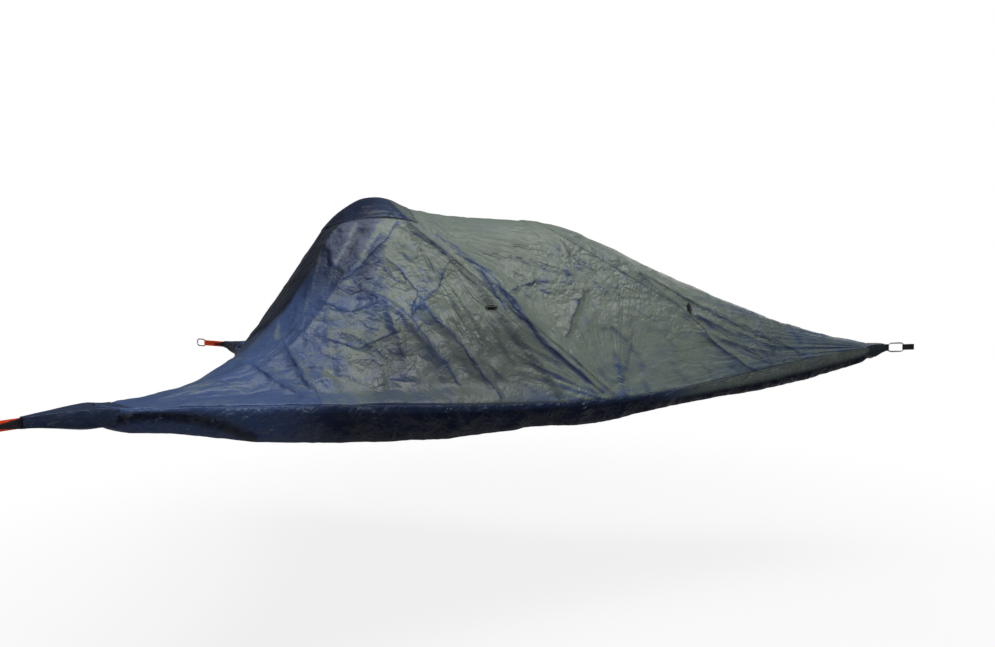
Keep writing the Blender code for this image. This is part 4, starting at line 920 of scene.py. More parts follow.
def fold_heights(points):
    """How far the folds lift each point of the fly off its plain form."""
    seen = seen_at(points)
    lift = fold_lift(seen)
    add_fans(lift, seen)
    for k, ((x, y, z), slack) in enumerate(zip(points, looseness(seen))):
        here = Vector((x, abs(y), z))
        lift[k] += 0.0042 * noise.noise((x * 3.1, abs(y) * 3.1, z * 2.2 + 4))
        lift[k] += (0.28 + 0.30 * slack) * (facets(here, 6.0) * 0.19 + facets(here, 13.0) * 0.20)
    lift = lift * (1 - 0.9 * fall(seen[:, 1], 228, 10) * fall(seen[:, 0], 414, 10))
    near = np.stack([points[:, 0], abs(points[:, 1]), points[:, 2]], 1)
    for line in (main_hoop, rear_hoop):
        pole = line(np.linspace(0, 1, 240))
        pole[:, 1] = abs(pole[:, 1])
        best = np.full(len(near), 1e9)
        for knot in pole:
            best = np.minimum(best, ((near - knot) ** 2).sum(1))
        lift = np.where(lift < 0, lift * (1 - np.exp(-best / OVER_POLE**2)), lift)
    for joint in frame["joints"]:
        if joint["name"].startswith("toggle"):
            far = np.linalg.norm(points - np.array(joint["pos_m"], float), axis=1)
            flat = np.exp(-(far / BESIDE_TOGGLE) ** 4)
            lift = lift * (1 - flat) - 0.001 * flat
    flat = fall(abs(points[:, 1]), BESIDE_ZIP, 0.035) * fall(points[:, 0], 1.0, 0.05)
    return lift * (1 - flat) - 0.0006 * flat


def facets(here, scale):
    """Height of crumpled cloth: flat facets about 1/scale across, that lean their own ways."""
    spot = Vector((here.x, here.y, here.z * 0.7)) * scale
    spot += Vector(noise.noise_vector(here * scale * 0.5)) * 0.35
    far, knots = noise.voronoi(spot)
    height = total = 0.0
    for distance, knot in zip(far, knots):
        weight = math.exp(-26 * (distance - far[0]))
        lean = noise.cell_vector(knot * 7.3) - Vector((0.5, 0.5, 0.5))
        height += weight * (spot - knot).dot(lean)
        total += weight
    return height / total / scale


# ---- Meshes
def mirrored(grid):
    """The left half's grid, with its columns turned round so that its faces point out too."""
    return grid[:, ::-1] * np.array([1, -1, 1])


def whole(half):
    """Both halves of a grid whose first column is the middle line."""
    return np.concatenate([mirrored(half)[:, :-1], half], 1)


def grid_faces(rows, columns, wrap=False):
    index = np.arange(rows * columns).reshape(rows, columns)
    after = np.roll(index, -1, 1) if wrap else index[:, 1:]
    index = index if wrap else index[:, :-1]
    return np.stack([index[:-1], after[:-1], after[1:], index[1:]], -1).reshape(-1, 4)


def grid_map(grid):
    """Distances in metres along the rows and along the columns of a grid."""
    down = np.linalg.norm(np.diff(grid, axis=0), axis=2)
    across = np.linalg.norm(np.diff(grid, axis=1), axis=2)
    v = np.concatenate([np.zeros((1, grid.shape[1])), np.cumsum(down, 0)])
    u = np.concatenate([np.zeros((grid.shape[0], 1)), np.cumsum(across, 1)], 1)
    return np.stack([v, u], -1)


# Every cloth with its grid of points, by name
CLOTHS = {}


def dressed(piece, body, slot, *solids):
    """Puts a piece on its body, in the place of the solids that it stands for."""
    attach(piece, body)
    if solids:
        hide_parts(*solids)


def cloth_piece(name, grid, look, thickness, slot, *solids, wrap=False, paints=None, body="tent"):
    """A sheet through a grid of points, with a map in metres, painted values and a thickness."""
    rows, columns = grid.shape[:2]
    faces = grid_faces(rows, columns, wrap)
    mesh = bpy.data.meshes.new(name)
    mesh.vertices.add(rows * columns)
    mesh.vertices.foreach_set("co", grid.reshape(-1).astype(np.float32))
    mesh.loops.add(faces.size)
    mesh.loops.foreach_set("vertex_index", faces.reshape(-1).astype(np.int32))
    mesh.polygons.add(len(faces))
    mesh.polygons.foreach_set("loop_start", np.arange(0, faces.size, 4, dtype=np.int32))
    mesh.update(calc_edges=True)
    spots = grid_map(grid).reshape(-1, 2)[faces.reshape(-1)]
    mesh.uv_layers.new(name="UVMap").data.foreach_set("uv", spots.reshape(-1).astype(np.float32))
    for paint, values in (paints or {}).items():
        layer = mesh.attributes.new(paint, "FLOAT", "POINT")
        layer.data.foreach_set("value", np.broadcast_to(values, (rows, columns)).reshape(-1).astype(np.float32))
    mesh.shade_smooth()
    piece = bpy.data.objects.new(name, mesh)
    bpy.context.scene.collection.objects.link(piece)
    mesh.materials.append(looks[look])
    if thickness:
        wall = piece.modifiers.new("wall", "SOLIDIFY")
        wall.thickness = thickness
        wall.offset = -1
        apply(piece)
    dressed(piece, body, slot, *solids)
    CLOTHS[name] = (piece, np.concatenate([grid, grid[:, :1]], 1) if wrap else grid)


def only(piece):
    """Selects one piece and nothing else."""
    for other in bpy.context.view_layer.objects:
        other.select_set(False)
    bpy.context.view_layer.objects.active = piece
    piece.select_set(True)


def set_shape(piece):
    """Makes a piece's size and turn part of its mesh."""
    only(piece)
    bpy.ops.object.transform_apply(location=True, rotation=True, scale=True)


def worked(piece, tool, *turns):
    """Runs a mesh tool on a whole piece, once with each set of values."""
    only(piece)
    bpy.ops.object.mode_set(mode="EDIT")
    for values in turns:
        bpy.ops.mesh.select_all(action="SELECT")
        tool(**values)
    bpy.ops.object.mode_set(mode="OBJECT")


def apply(piece):
    only(piece)
    for modifier in list(piece.modifiers):
        bpy.ops.object.modifier_apply(modifier=modifier.name)


def area_of(grid):
    a = grid[1:, 1:] - grid[:-1, :-1]
    b = grid[1:, :-1] - grid[:-1, 1:]
    return float(np.linalg.norm(np.cross(a, b), axis=2).sum() / 2)


def edge_paint(grid, sides):
    """Distance in metres from the named sides of a grid, and distance along the nearest one."""
    down, across = np.moveaxis(grid_map(grid), -1, 0)
    found, run = np.full(down.shape, 1.0), across
    distances = {
        "first_column": (across, down), "last_column": (across[:, -1:] - across, down),
        "first_row": (down, across), "last_row": (down[-1:] - down, across),
    }
    for side in sides:
        far, along = distances[side]
        run = np.where(far < found, along, run)
        found = np.minimum(found, far)
    return found, run


def fly_grids():
    """The fly's panels and hems, folded as one cloth and then cut at the seams."""
    front, side, middle, tail = front_half(), side_half(), middle_half(), tail_half()
    edge, head = side_hem(), head_hem()
    plain = {
        "fly_front_cloth": whole(front), "fly_side_cloth_right": side, "fly_side_cloth_left": mirrored(side),
        "fly_middle_cloth": whole(middle), "fly_tail_cloth": whole(tail),
        "fly_hem_cloth_right": edge, "fly_hem_cloth_left": mirrored(edge), "fly_hem_cloth_head": whole(head),
    }
    points = np.concatenate([grid.reshape(-1, 3) for grid in plain.values()])
    _, first, same = np.unique(np.round(points, 5), axis=0, return_index=True, return_inverse=True)
    points = points[first]
    ends = np.cumsum([grid[..., 0].size for grid in plain.values()])
    index = dict(zip(plain, np.split(same.reshape(-1), ends[:-1])))
    normals = np.zeros_like(points)
    share = np.ones(len(points))
    for name, grid in plain.items():
        faces = index[name][grid_faces(*grid.shape[:2])]
        a, b, c, d = (points[faces[:, k]] for k in range(4))
        square = np.cross(c - a, d - b)
        if name.startswith("fly_hem"):
            square = -square
            share[index[name]] = HEM_FOLDS
        for k in range(4):
            np.add.at(normals, faces[:, k], square)
    normals = unit(normals)
    lift = fold_heights(points) * share
    upper = np.where(normals[:, 2:3] < -0.2, 0.0, 1.0)
    points = points + normals * lift[:, None] * upper
    return {name: points[index[name]].reshape(grid.shape) for name, grid in plain.items()}, plain


def slopes(grid):
    return unit(np.cross(np.gradient(grid, axis=1), np.gradient(grid, axis=0)))


SEAM_BAND = ((404, 216), (415, 229), (448, 253), (479, 288), (500, 317), (527, 351), (560, 396))


# The strip of painted shadow along the zip: rows of the picture, and where the strip ends there
SHADOW_STRIP_ROWS = (222, 225, 240, 260, 276, 291, 309, 328, 341, 358)
SHADOW_STRIP_EDGE = (342, 338, 325, 318, 306, 296, 286, 270, 257, 243)


# Long folds that catch the light below the brim: width, then points in the picture
LIT_FOLDS = (
    (4.5, ((379, 228), (366, 252), (346, 285))),
    (2.4, ((356, 224), (347, 243), (334, 266))),
    (3.2, ((392, 246), (384, 262), (371, 284))),
)
# The way toward the light that the painted light and shade of the folds are reckoned from
LIGHT = np.array([0.62, -0.25, 0.74])


def fly_paints(name, grid, plain, sides):
    """The fly's painted light and shade, by place and by how its folds lean toward the light, then its seams and its
    sleeve band.
    """
    seen = seen_at(grid)
    x, y = seen[..., 0], seen[..., 1]
    # Painted light by place: the lit share grows toward the back and the top, drops under the brim, and rises on the
    # lower middle
    behind = (x - 415) - (y - 229) * 0.98
    lit_tone = rise(behind, -240, 250)
    upper = fall(x, 392, 24) * fall(y, 312, 40)
    lit_tone = lit_tone * (1 - upper) + 0.66 * rise(x, 305, 60) * rise(y, 305, 40) * fall(x, 540, 70)
    lit_tone = lit_tone * (1 - 0.40 * rise(x, 620, 200)) * (1 - 0.25 * rise(y, 330, 80))
    lit_tone += 0.35 * fall(y, 300, 70) * rise(x, 372, 40)
    # Painted light and shade by how far each fold leans toward the light
    side = np.where(plain[:, :, 1:2] > 0, np.array([1, -1, 1]), 1.0)
    lean = ((slopes(grid) - slopes(plain)) * side) @ LIGHT
    lit_tone = lit_tone + 2.4 * lean * (1 - 0.5 * rise(x, 600, 60))
    # Painted shade along the panels' foot, on folds that lean away from the light, under the brim and on the lower
    # middle; a painted highlight patch below the crown
    shade = 0.55 * rise(y, 400, 12) * fall(x, 640, 120) * rise(x, 300, 60) - 1.2 * np.minimum(lean, 0)
    low = rise(x, 350, 40) * rise(y, 300, 40) * fall(x, 575, 60)
    patch = np.exp(-((x - 421) / 24) ** 2 - ((y - 262) / 36) ** 2)
    shade += 0.20 * rise(x, 640, 200) + 0.58 * upper + 0.15 * rise(x, 250, 50) * fall(x, 400, 40)
    shade += 0.46 * low - 0.45 * patch
    lit_tone = lit_tone + 0.35 * patch + 0.2 * rise(x, 290, 30) * rise(y, 340, 20) * fall(x, 400, 40)
    # Painted highlights along the long folds
    for wide, line in LIT_FOLDS:
        lit = np.exp(-(beside_line(seen, line)[0] / wide) ** 2)
        lit_tone = lit_tone + 0.75 * lit
        shade = shade - 0.55 * lit
    seam, run = edge_paint(grid, sides)
    band = np.zeros_like(x)
    if "side" in name:
        best, place, _ = beside_line(seen, SEAM_BAND)
        band = fall(best, 4.6, 1.6)
        run = np.where(band > 0, place * BAND_STITCH, run)
    # Painted shadow: a dark strip along the zip, softer toward its foot
    soft = 5 + 10 * rise(y, 300, 40)
    shade += 0.95 * fall(x, np.interp(y, SHADOW_STRIP_ROWS, SHADOW_STRIP_EDGE) + 3, soft) * fall(y, 366, 26)
    tones = {"lit_tone": lit_tone, "shade": shade, "band": band, "loose": looseness(seen)}
    tones = {key: np.clip(value, 0, 1) for key, value in tones.items()}
    return {**tones, "seam": seam, "run": run, "across": x / 100, "down": y / 100}


# The fly's sheets: the sides that are sewn, but for the hems, then their slot and solids
FLY_SHEETS = {
    "fly_front_cloth": (
        ("first_column", "last_column", "last_row"), "fly_slate", "fly_front_right", "fly_front_left",
    ),
    "fly_side_cloth_right": (("first_column", "last_row"), "fly_slate", "fly_side_right"),
    "fly_side_cloth_left": (("last_column", "last_row"), "fly_slate", "fly_side_left"),
    "fly_middle_cloth": (("first_row", "last_row"), "fly_olive", "fly_middle"),
    "fly_tail_cloth": (("first_row",), "fly_olive", "fly_tail"),
    "fly_hem_cloth_right": (None, "fly_dark", "fly_hem_right"),
    "fly_hem_cloth_left": (None, "fly_dark", "fly_hem_left"),
    "fly_hem_cloth_head": (None, "fly_dark", "fly_hem_head"),
}
FLY_WALL = 0.0006


def make_fly():
    panels, plain = fly_grids()
    for name, grid in panels.items():
        sides, *dress = FLY_SHEETS[name]
        if sides:
            paints = fly_paints(name, grid, plain[name], sides)
            cloth_piece(name, grid, "fly", FLY_WALL, *dress, paints=paints)
        else:
            cloth_piece(name, grid[::-1], "hem", FLY_WALL, *dress, paints=hem_paints(grid))
    make_brim(panels, plain)


def make_brim(panels, plain):
    """The darker band over the main hoop: the nose panels' top and the cloth behind the hoop."""
    low = int(0.755 * (len(FRONT_ROWS) - 1))
    brim, flat = (
        np.concatenate([grids["fly_front_cloth"][low:], over_crown(grids["fly_middle_cloth"])])
        for grids in (panels, plain)
    )
    kernel = np.exp(-(np.arange(-9, 10) / 5.0) ** 2)
    for axis in range(3):
        for column in range(brim.shape[1]):
            line = brim[:, column, axis]
            padded = np.concatenate([2 * line[0] - line[9:0:-1], line, 2 * line[-1] - line[-2:-11:-1]])
            brim[:, column, axis] = np.convolve(padded, kernel / kernel.sum(), "valid")
    wave = np.array([[
        0.0016 * noise.noise((p[1] * 34, p[0] * 3, 2.0)) + 0.0010 * noise.noise((p[1] * 80, p[0] * 5, 7.0)) for p in row
    ] for row in brim])
    # Metres behind the hoop, and how the brim swells there
    away = np.arange(len(brim))[:, None] - (len(FRONT_ROWS) - low - 1)
    away = np.where(away > 0, away * 0.0084, away * 0.0062)
    swell = 0.009 * np.exp(-((away - 0.05) / 0.04) ** 2) + 0.010 * np.exp(-((away + 0.06) / 0.05) ** 2)
    swell = swell + 0.0045 * np.exp(-(away / 0.03) ** 2)
    brim = brim + slopes(brim) * (0.0026 + wave + swell * np.cos(np.linspace(-1.4, 1.4, brim.shape[1])))[:, :, None]
    paints = fly_paints("brim", brim, flat, ("first_row", "last_row"))
    # Painted light on the brim's back end behind the hoop; its front is darker, through the shade paint
    back = smooth(away / 0.02 - 1.4)
    paints["lit_tone"] = np.clip(paints["lit_tone"] * 0.35 + back, 0, 1)
    paints["shade"] = np.clip(0.35 * paints["shade"] + 0.60 * (1 - back), 0, 1)
    cloth_piece("fly_brim_cloth", brim, "hem", FLY_WALL, "fly_slate", "fly_brim", paints=paints)


BRIM_BACK = 16


def over_crown(middle):
    """The brim's rows behind the main hoop, shorter toward its sides."""
    centre, half = middle.shape[1] // 2, len(PANEL_COLUMNS) - 1
    reach = BRIM_BACK * (1 - 0.62 * np.linspace(-1, 1, 2 * half + 1) ** 2)
    places = np.arange(1, BRIM_BACK + 1)[:, None] / BRIM_BACK * reach[None]
    low = np.floor(places).astype(int)
    columns = np.arange(centre - half, centre + half + 1)[None]
    share = (places - low)[:, :, None]
    return middle[low, columns] * (1 - share) + middle[low + 1, columns] * share


# The long fold of the hem beside the head corner, in the picture, painted dark with shade along it
HEM_FOLD = ((112, 421), (132, 417), (165, 416), (196, 419), (222, 426), (252, 438))


def hem_paints(grid):
    """The hem's painted light and shade, from its foot up: painted near-black shade where it turns under, and painted
    lit above, most at the tail.
    """
    seen = seen_at(grid)
    x = seen[..., 0]
    down = np.broadcast_to(HEM_FALLS[:, None], x.shape)
    rear = rise(x, 640, 90)
    front = fall(x, 350, 90)
    hem_shade = 0.62 * (1 - front) + (0.26 + 0.44 * front) * smooth((down - 0.03 * front) / 0.10)
    hem_shade = hem_shade + 0.12 * rise(down, 0.14, 0.12)
    # Painted shade along the hem's long fold
    hem_shade = hem_shade - 0.10 * front + 0.55 * np.exp(-(beside_line(seen, HEM_FOLD)[0] / 4.5) ** 2)
    shade = hem_shade * (1 - rear) + (0.22 + 0.78 * rise(down, 0.42, 0.14)) * rear
    lit_tone = 0.80 * rear + 0.25 * rise(x, 560, 60) * (1 - down)
    seam, run = edge_paint(grid, ("first_row",))
    tones = {"lit_tone": np.clip(lit_tone, 0, 1), "shade": np.clip(shade, 0, 1), "seam": seam, "run": run}
    return {**{key: value[::-1] for key, value in tones.items()}, "band": 0.0, "loose": 0.5}


# ---- Cuffs, ties and straps at the corners
def corner_place(corner, along, across, height):
    """Points beside a corner: along its pull, across it and above it."""
    along, across, height = np.broadcast_arrays(np.asarray(along, float), across, height)
    if corner == "tail":
        return at(LENGTH + along, across, height)
    spot = RIGHT_CORNER + along[..., None] * PULL + across[..., None] * ACROSS + height[..., None] * UP
    return spot if corner == "right" else spot * np.array([1, -1, 1])


def edge_spread(corner, distance):
    """How far the webbings stand from a corner's middle line: the furthest one."""
    share = np.linspace(0, 0.3, 400)
    if corner == "tail":
        points = side_edge(1 - share)
        return float(np.interp(distance, LENGTH - points[:, 0], -points[:, 1]))
    found = []
    for points in (side_edge(share), head_edge(1 - share)):
        local = points - RIGHT_CORNER
        found.append(np.interp(distance, -(local @ PULL), abs(local @ ACROSS)))
    return float(max(found))


# The cuffs' distances from the corner and half heights there
CUFFS = {
    "tail": (
        (0.27, 0.010), (0.24, 0.016), (0.21, 0.022), (0.18, 0.025), (0.15, 0.024), (0.13, 0.0225), (0.115, 0.021),
    ),
    "head": (
        (0.37, 0.011), (0.34, 0.013), (0.31, 0.019), (0.285, 0.0255), (0.26, 0.0275), (0.22, 0.0262),
        (0.17, 0.0240), (0.12, 0.0222), (0.085, 0.0212), (0.039, 0.0206),
    ),
}


def make_cuff(corner):
    """A sleeve of cloth, gathered over the webbings that run to a corner."""
    tail = corner == "tail"
    far, tall = np.array(CUFFS["tail" if tail else "head"]).T
    slack, sag = (0.085, 0.034) if tail else (0.2, 0.027)
    distances = np.linspace(far[0], far[-1], 60)
    angles = np.linspace(0, 2 * math.pi, 73)[:-1]
    across, height = np.cos(angles), np.sin(angles)
    square = np.maximum(abs(across), abs(height)) ** 0.82
    rows = []
    for distance, half in zip(distances, np.interp(distances, far[::-1], tall[::-1])):
        width = max(edge_spread(corner, distance) + 0.0035, 0.0125)
        gather = np.array([
            noise.noise((math.cos(a) * 3.2, math.sin(a) * 3.2, distance * 5 + len(corner))) * 0.0032
            + noise.noise((math.cos(a) * 8, math.sin(a) * 8, distance * 14)) * 0.0014 for a in angles
        ])
        hang = rise(distance, far[-1], slack) * sag * np.maximum(-height, 0)
        rows.append(corner_place(
            corner, -distance, (width + gather) * across / square, 0.001 + (half + gather) * height / square - hang,
        ))
    grid = np.array(rows)
    # Painted shade, deeper on the cuff's underside; the tail cuff gets more of the painted lit tone
    shade = np.clip(0.80 - 0.14 * height, 0, 1)[None]
    if corner == "left":
        grid, shade = grid[:, ::-1], shade[:, ::-1]
    paints = {"lit_tone": 0.7 if tail else 0.04, "shade": shade, "seam": 1.0, "run": 0.0, "band": 0.0, "loose": 0.5}
    cloth_piece(
        f"fly_cuff_cloth_{corner}", grid, "hem", 0.0007, "fly_slate", f"fly_cuff_{corner}", wrap=True, paints=paints,
    )
    if not tail:
        make_tie(corner)


def make_tie(corner):
    """The fly's black tie beside a head corner's strap, tall in the cuff and narrow at its end."""
    side = 1 if corner == "right" else -1
    along = np.linspace(0, 1, 34)
    tall = np.interp(along, (0, 0.25, 0.7, 1), (0.0215, 0.021, 0.0060, 0.0055))
    columns = np.linspace(-1, 1, 9)
    tie = np.array([
        corner_place(
            corner, -0.088 + 0.171 * s,
            side * (0.0062 + 0.0014 * noise.noise((s * 6, 0, 3)) + 0.0012 * np.cos(columns * 5 + s * 9)),
            half * columns + 0.001 - 0.004 * s,
        ) for s, half in zip(along, tall)
    ])
    if corner == "left":
        tie = tie[:, ::-1]
    cloth_piece(f"fly_tie_cloth_{corner}", tie, "black", 0.0012, "black_webbing", f"fly_tie_{corner}")


def swept_webbing(name, corner, path, width, look, slot, solid, body="tent", closed=False):
    """Webbing that stands on edge along a level path beside a corner."""
    path = np.array(path, float)
    fine = []
    for a, b in zip(path, np.roll(path, -1, 0) if closed else path[1:]):
        steps = max(2, int(np.linalg.norm(b - a) / 0.003))
        fine += [a + (b - a) * t / steps for t in range(steps)]
    fine.append(path[0] if closed else path[-1])
    heights = np.linspace(-width / 2, width / 2, 9)
    grid = np.array([corner_place(corner, along, across, heights) for along, across in fine])
    cloth_piece(name, grid, look, 0.0018, slot, solid, body=body)


def arc(x, radius, start, end):
    """Points of an arc about a spot on a corner's middle line."""
    angles = np.radians(np.linspace(start, end, 14))
    return [(x + radius * math.cos(a), radius * math.sin(a)) for a in angles]


def eye_place(corner):
    """How far past its corner a strap's eye lies."""
    return TAIL_EYE - LENGTH if corner == "tail" else EYE_REACH


def make_strap(corner):
    """A strap from between the edge webbings, round the link and back."""
    tail = corner == "tail"
    eye = eye_place(corner)
    start, end = (-0.21, -0.13) if tail else (-0.11, -0.06)
    wide = edge_spread(corner, -start) - 0.006
    neck = min(edge_spread(corner, -end) - 0.004, 0.018 if tail else 0.05)
    half = [(start, wide), (end, neck), (end + 0.018, STRAP_PLY), (eye - 0.02, STRAP_PLY)]
    path = [(x, -y) for x, y in half] + arc(eye, EYE_RADIUS + 0.0012, -155, 155) + half[::-1]
    look, slot = ("black", "black_webbing") if tail else ("orange", "orange_webbing")
    swept_webbing(f"corner_strap_web_{corner}", corner, path, STRAP_SEEN, look, slot, f"corner_strap_{corner}")


def make_link(corner):
    """A welded oblong link: a ring whose outer half is drawn out."""
    tail = corner == "tail"
    eye = eye_place(corner)
    radius = (LINK_HEIGHT - LINK_WIRE) / 2
    bpy.ops.mesh.primitive_torus_add(
        major_radius=radius, minor_radius=LINK_WIRE / 2, major_segments=56, minor_segments=16,
        rotation=(math.pi / 2, 0, 0), location=(0, 0, 0),
    )
    link = bpy.context.object
    link.name = f"corner_link_{corner}"
    set_shape(link)
    stretch = LINK_LENGTH - LINK_WIRE - 2 * radius
    for vertex in link.data.vertices:
        x = vertex.co.x
        vertex.co.x = x + radius + stretch if x > 0 else x + radius
    turn = Matrix.Identity(3) if tail else Matrix((PULL, ACROSS, UP)).transposed()
    origin = np.array([TAIL_EYE, 0, 0]) if tail else corner_place("right", eye, 0.0, 0.0)
    link.data.transform(Matrix.Translation(origin) @ turn.to_4x4())
    if corner == "left":
        link.data.transform(Matrix.Diagonal((1, -1, 1, 1)))
        link.data.flip_normals()
    link.data.shade_smooth()
    link.data.materials.append(looks["steel"])
    dressed(link, f"ring_{corner}", "ring_steel", f"corner_ring_{corner}")
    if tail:
        bar = eye + LINK_LENGTH - LINK_WIRE
        radius = EYE_RADIUS + 0.0011
        path = arc(bar, radius, 110, 250) + [(bar + 0.012, -0.0045)]
        path += arc(bar + 0.055 - radius, radius, -80, 80) + [(bar + 0.012, 0.0045)]
        swept_webbing(
            "tail_loop_web", corner, path, LOOP_WIDTH, "black", "black_webbing", "tail_loop", "ring_tail", closed=True,
        )


# ---- Zips
def zip_line(kind, shares):
    if kind == "fly":
        return nose_line(shares)
    low, high = np.array([0.57186, 0, 0.146988]), np.array([0.947949, 0, 0.680675])
    return toward(low, high, shares)


LEFT = np.array([0.0, 1.0, 0.0])


def resampled(line, spacing):
    """Points at even distances along a zip, those distances, and the way out of the cloth."""
    length = run_lengths(line)
    places = np.arange(0, length[-1], spacing)
    points = np.stack([np.interp(places, length, line[:, k]) for k in range(3)], 1)
    out = unit(np.cross(unit(np.gradient(points, axis=0)), LEFT))
    return points, places, np.where(out[:, :1] > 0, -out, out)


# Across the zip's coil: offset, and share of its height
COIL = np.array([
    (0.0036, 0.0), (0.0035, 0.55), (0.0024, 1.0), (0.0006, 0.95), (0.0, 0.55), (-0.0006, 0.95), (-0.0024, 1.0),
    (-0.0035, 0.55), (-0.0036, 0.0),
])
TOOTH = 0.0024
TAPE_HALF = 0.015


def make_zip(kind, first, last):
    """A zip's tape and its coil, from one place of its line to another."""
    line = zip_line(kind, np.linspace(first, last, 400))
    tape, _, out = resampled(line, 0.006)
    offsets = np.linspace(TAPE_HALF, -TAPE_HALF, 13)
    lift = np.where(abs(offsets) < 0.004, 0.0012, 0.0008)
    sink = (offsets / TAPE_HALF) ** 2 * 0.0006
    grid = tape[:, None] + offsets[None, :, None] * LEFT + out[:, None] * (0.0004 + lift - sink)[None, :, None]
    cloth_piece(f"{kind}_zip_web", grid, "tape", 0.0006, "zip_tape", f"{kind}_zip_tape")
    coil, places, out = resampled(line, 0.0006)
    tooth = 0.55 + 0.45 * np.abs(np.sin(math.pi * places / TOOTH)) ** 0.7
    height = 0.0017 if kind == "fly" else 0.0009
    grid = coil[:, None] + COIL[None, :, :1] * LEFT
    grid = grid + out[:, None] * (0.0012 + height * COIL[None, :, 1] * tooth[:, None])[:, :, None]
    solids = ["fly_zip_coil"] if kind == "fly" else []
    cloth_piece(f"{kind}_zip_teeth", grid, "nylon", 0.0, "black_plastic", *solids)


def block(name, size, bevel):
    """A block with rounded edges, about the origin."""
    bpy.ops.mesh.primitive_cube_add(size=1, location=(0, 0, 0))
    made = bpy.context.object
    made.name = name
    made.scale = size
    set_shape(made)
    worked(made, bpy.ops.mesh.bevel, {"offset": bevel, "segments": 3, "affect": "EDGES"})
    return made


def settle(piece, spot, turn, look, slot, solid, body):
    """Puts a hard piece in its place and finishes it."""
    piece.data.transform(Matrix.Translation(spot) @ turn.to_4x4())
    piece.data.materials.clear()
    piece.data.materials.append(looks[look])
    only(piece)
    bpy.ops.object.shade_smooth_by_angle(angle=math.radians(40))
    dressed(piece, body, slot, solid)


def middle_of(node):
    low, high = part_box(node)
    return (np.array(low) + np.array(high)) / 2


def make_slider(kind):
    """A zip slider with its nose, its bridge and the pull that hangs from it."""
    low, high = zip_line(kind, np.array(STRAIGHT if kind == "fly" else (0.0, 1.0)))
    along = unit(high - low)
    out = np.cross(along, LEFT)
    flip = -1 if out[0] > 0 else 1
    turn = Matrix((along, flip * LEFT, flip * out)).transposed()
    slider = block(f"{kind}_slider_body", (0.0195, 0.0124, 0.0032), 0.0012)
    for vertex in slider.data.vertices:
        if vertex.co.x > 0.006:
            vertex.co.y *= 0.72
    bridge = block("bridge", (0.012, 0.0036, 0.0022), 0.0009)
    bridge.data.transform(Matrix.Translation((0.001, 0, 0.0019)))
    only(slider)
    bridge.select_set(True)
    bpy.ops.object.join()
    node = f"{kind}_zip_slider"
    settle(slider, middle_of(node), turn, "steel", "ring_steel", node, f"{kind}_slider")
    tag = block(f"{kind}_pull_tag", (0.049, 0.0088, 0.0014), 0.0006)
    worked(tag, bpy.ops.mesh.subdivide, {"number_cuts": 6})
    for vertex in tag.data.vertices:
        x = vertex.co.x
        if x > 0.008:
            vertex.co.y *= 0.55
        elif x < -0.006:
            vertex.co.z *= 1.0 + 0.25 * max(0.0, math.sin(x * 2600))
    node = f"{kind}_zip_pull"
    settle(tag, middle_of(node), turn, "nylon", "black_plastic", node, f"{kind}_pull")


# ---- Toggles and their tabs
# A toggle's bar: its size, and where its waists and ends are cut
BAR_RADIUS, BAR_LENGTH = 0.0049, 0.0594
BAR_CUTS = (-0.026, -0.020, -0.010, -0.006, -0.003, 0.003, 0.006, 0.010, 0.020, 0.026)
# How far below the bar's middle its tab lies
TAB_DROP = 0.0071


def make_toggle(place):
    """A toggle's bar with its waist and slim ends, and the tab that it swivels on."""
    name = f"toggle_{place}"
    joint = next(item for item in frame["joints"] if item["name"] == f"{name}_swivel")
    out = unit(np.array(joint["axis"], float))
    spot = np.array(joint["pos_m"], float)
    level = unit(np.cross(UP, out))
    along = np.cross(out, level) if place.startswith("rear") else level
    across = np.cross(out, along)
    bpy.ops.mesh.primitive_cylinder_add(
        vertices=24, radius=BAR_RADIUS, depth=BAR_LENGTH, rotation=(0, math.pi / 2, 0),
    )
    bar = bpy.context.object
    bar.name = f"toggle_bar_{place}"
    set_shape(bar)
    worked(bar, bpy.ops.mesh.bisect, *({"plane_co": (x, 0, 0), "plane_no": (1, 0, 0)} for x in BAR_CUTS))
    for vertex in bar.data.vertices:
        x = abs(vertex.co.x)
        slim = 0.62 if x > 0.0290 else 0.80 if 0.0025 < x < 0.0065 else 0.92 if x > 0.019 else 1.0
        vertex.co.y *= slim
        vertex.co.z *= slim
    rounding = bar.modifiers.new("rounding", "BEVEL")
    rounding.width = 0.0012
    rounding.segments = 3
    rounding.limit_method = "ANGLE"
    apply(bar)
    settle(bar, spot, Matrix((along, across, out)).transposed(), "nylon", "black_plastic", name, name)
    columns, rows = np.linspace(0.012, -0.012, 7), np.linspace(-0.017, 0.017, 17)
    grid = np.array([[
        spot - out * TAB_DROP + along * x + across * y + out * (0.0003 + 0.0007 * math.exp(-(x / 0.006) ** 2))
        for y in columns[::-1]
    ] for x in rows])
    cloth_piece(f"guy_tab_web_{place}", grid, "black", 0.0011, "black_webbing", f"guy_tab_{place}")


# ---- Floor and inner canopy
def inside_rim(curve, share, height):
    """Points of an edge webbing's inner side."""
    start, end = (SETBACK, SETBACK + 0.1) if curve is side_edge else (0, SETBACK)
    return rim(curve, share, start, end, -0.002, height)


def inner_side(share, height):
    corner = by_corner(-SETBACK, 0, height)
    return toward(corner, inside_rim(side_edge, share, height), smooth(share * SIDE_RUN / SETBACK))


def inner_head(share, height):
    corner = by_corner(-SETBACK, 0, height)
    return toward(corner, inside_rim(head_edge, share, height), smooth((1 - share) * HEAD_RUN / SETBACK))


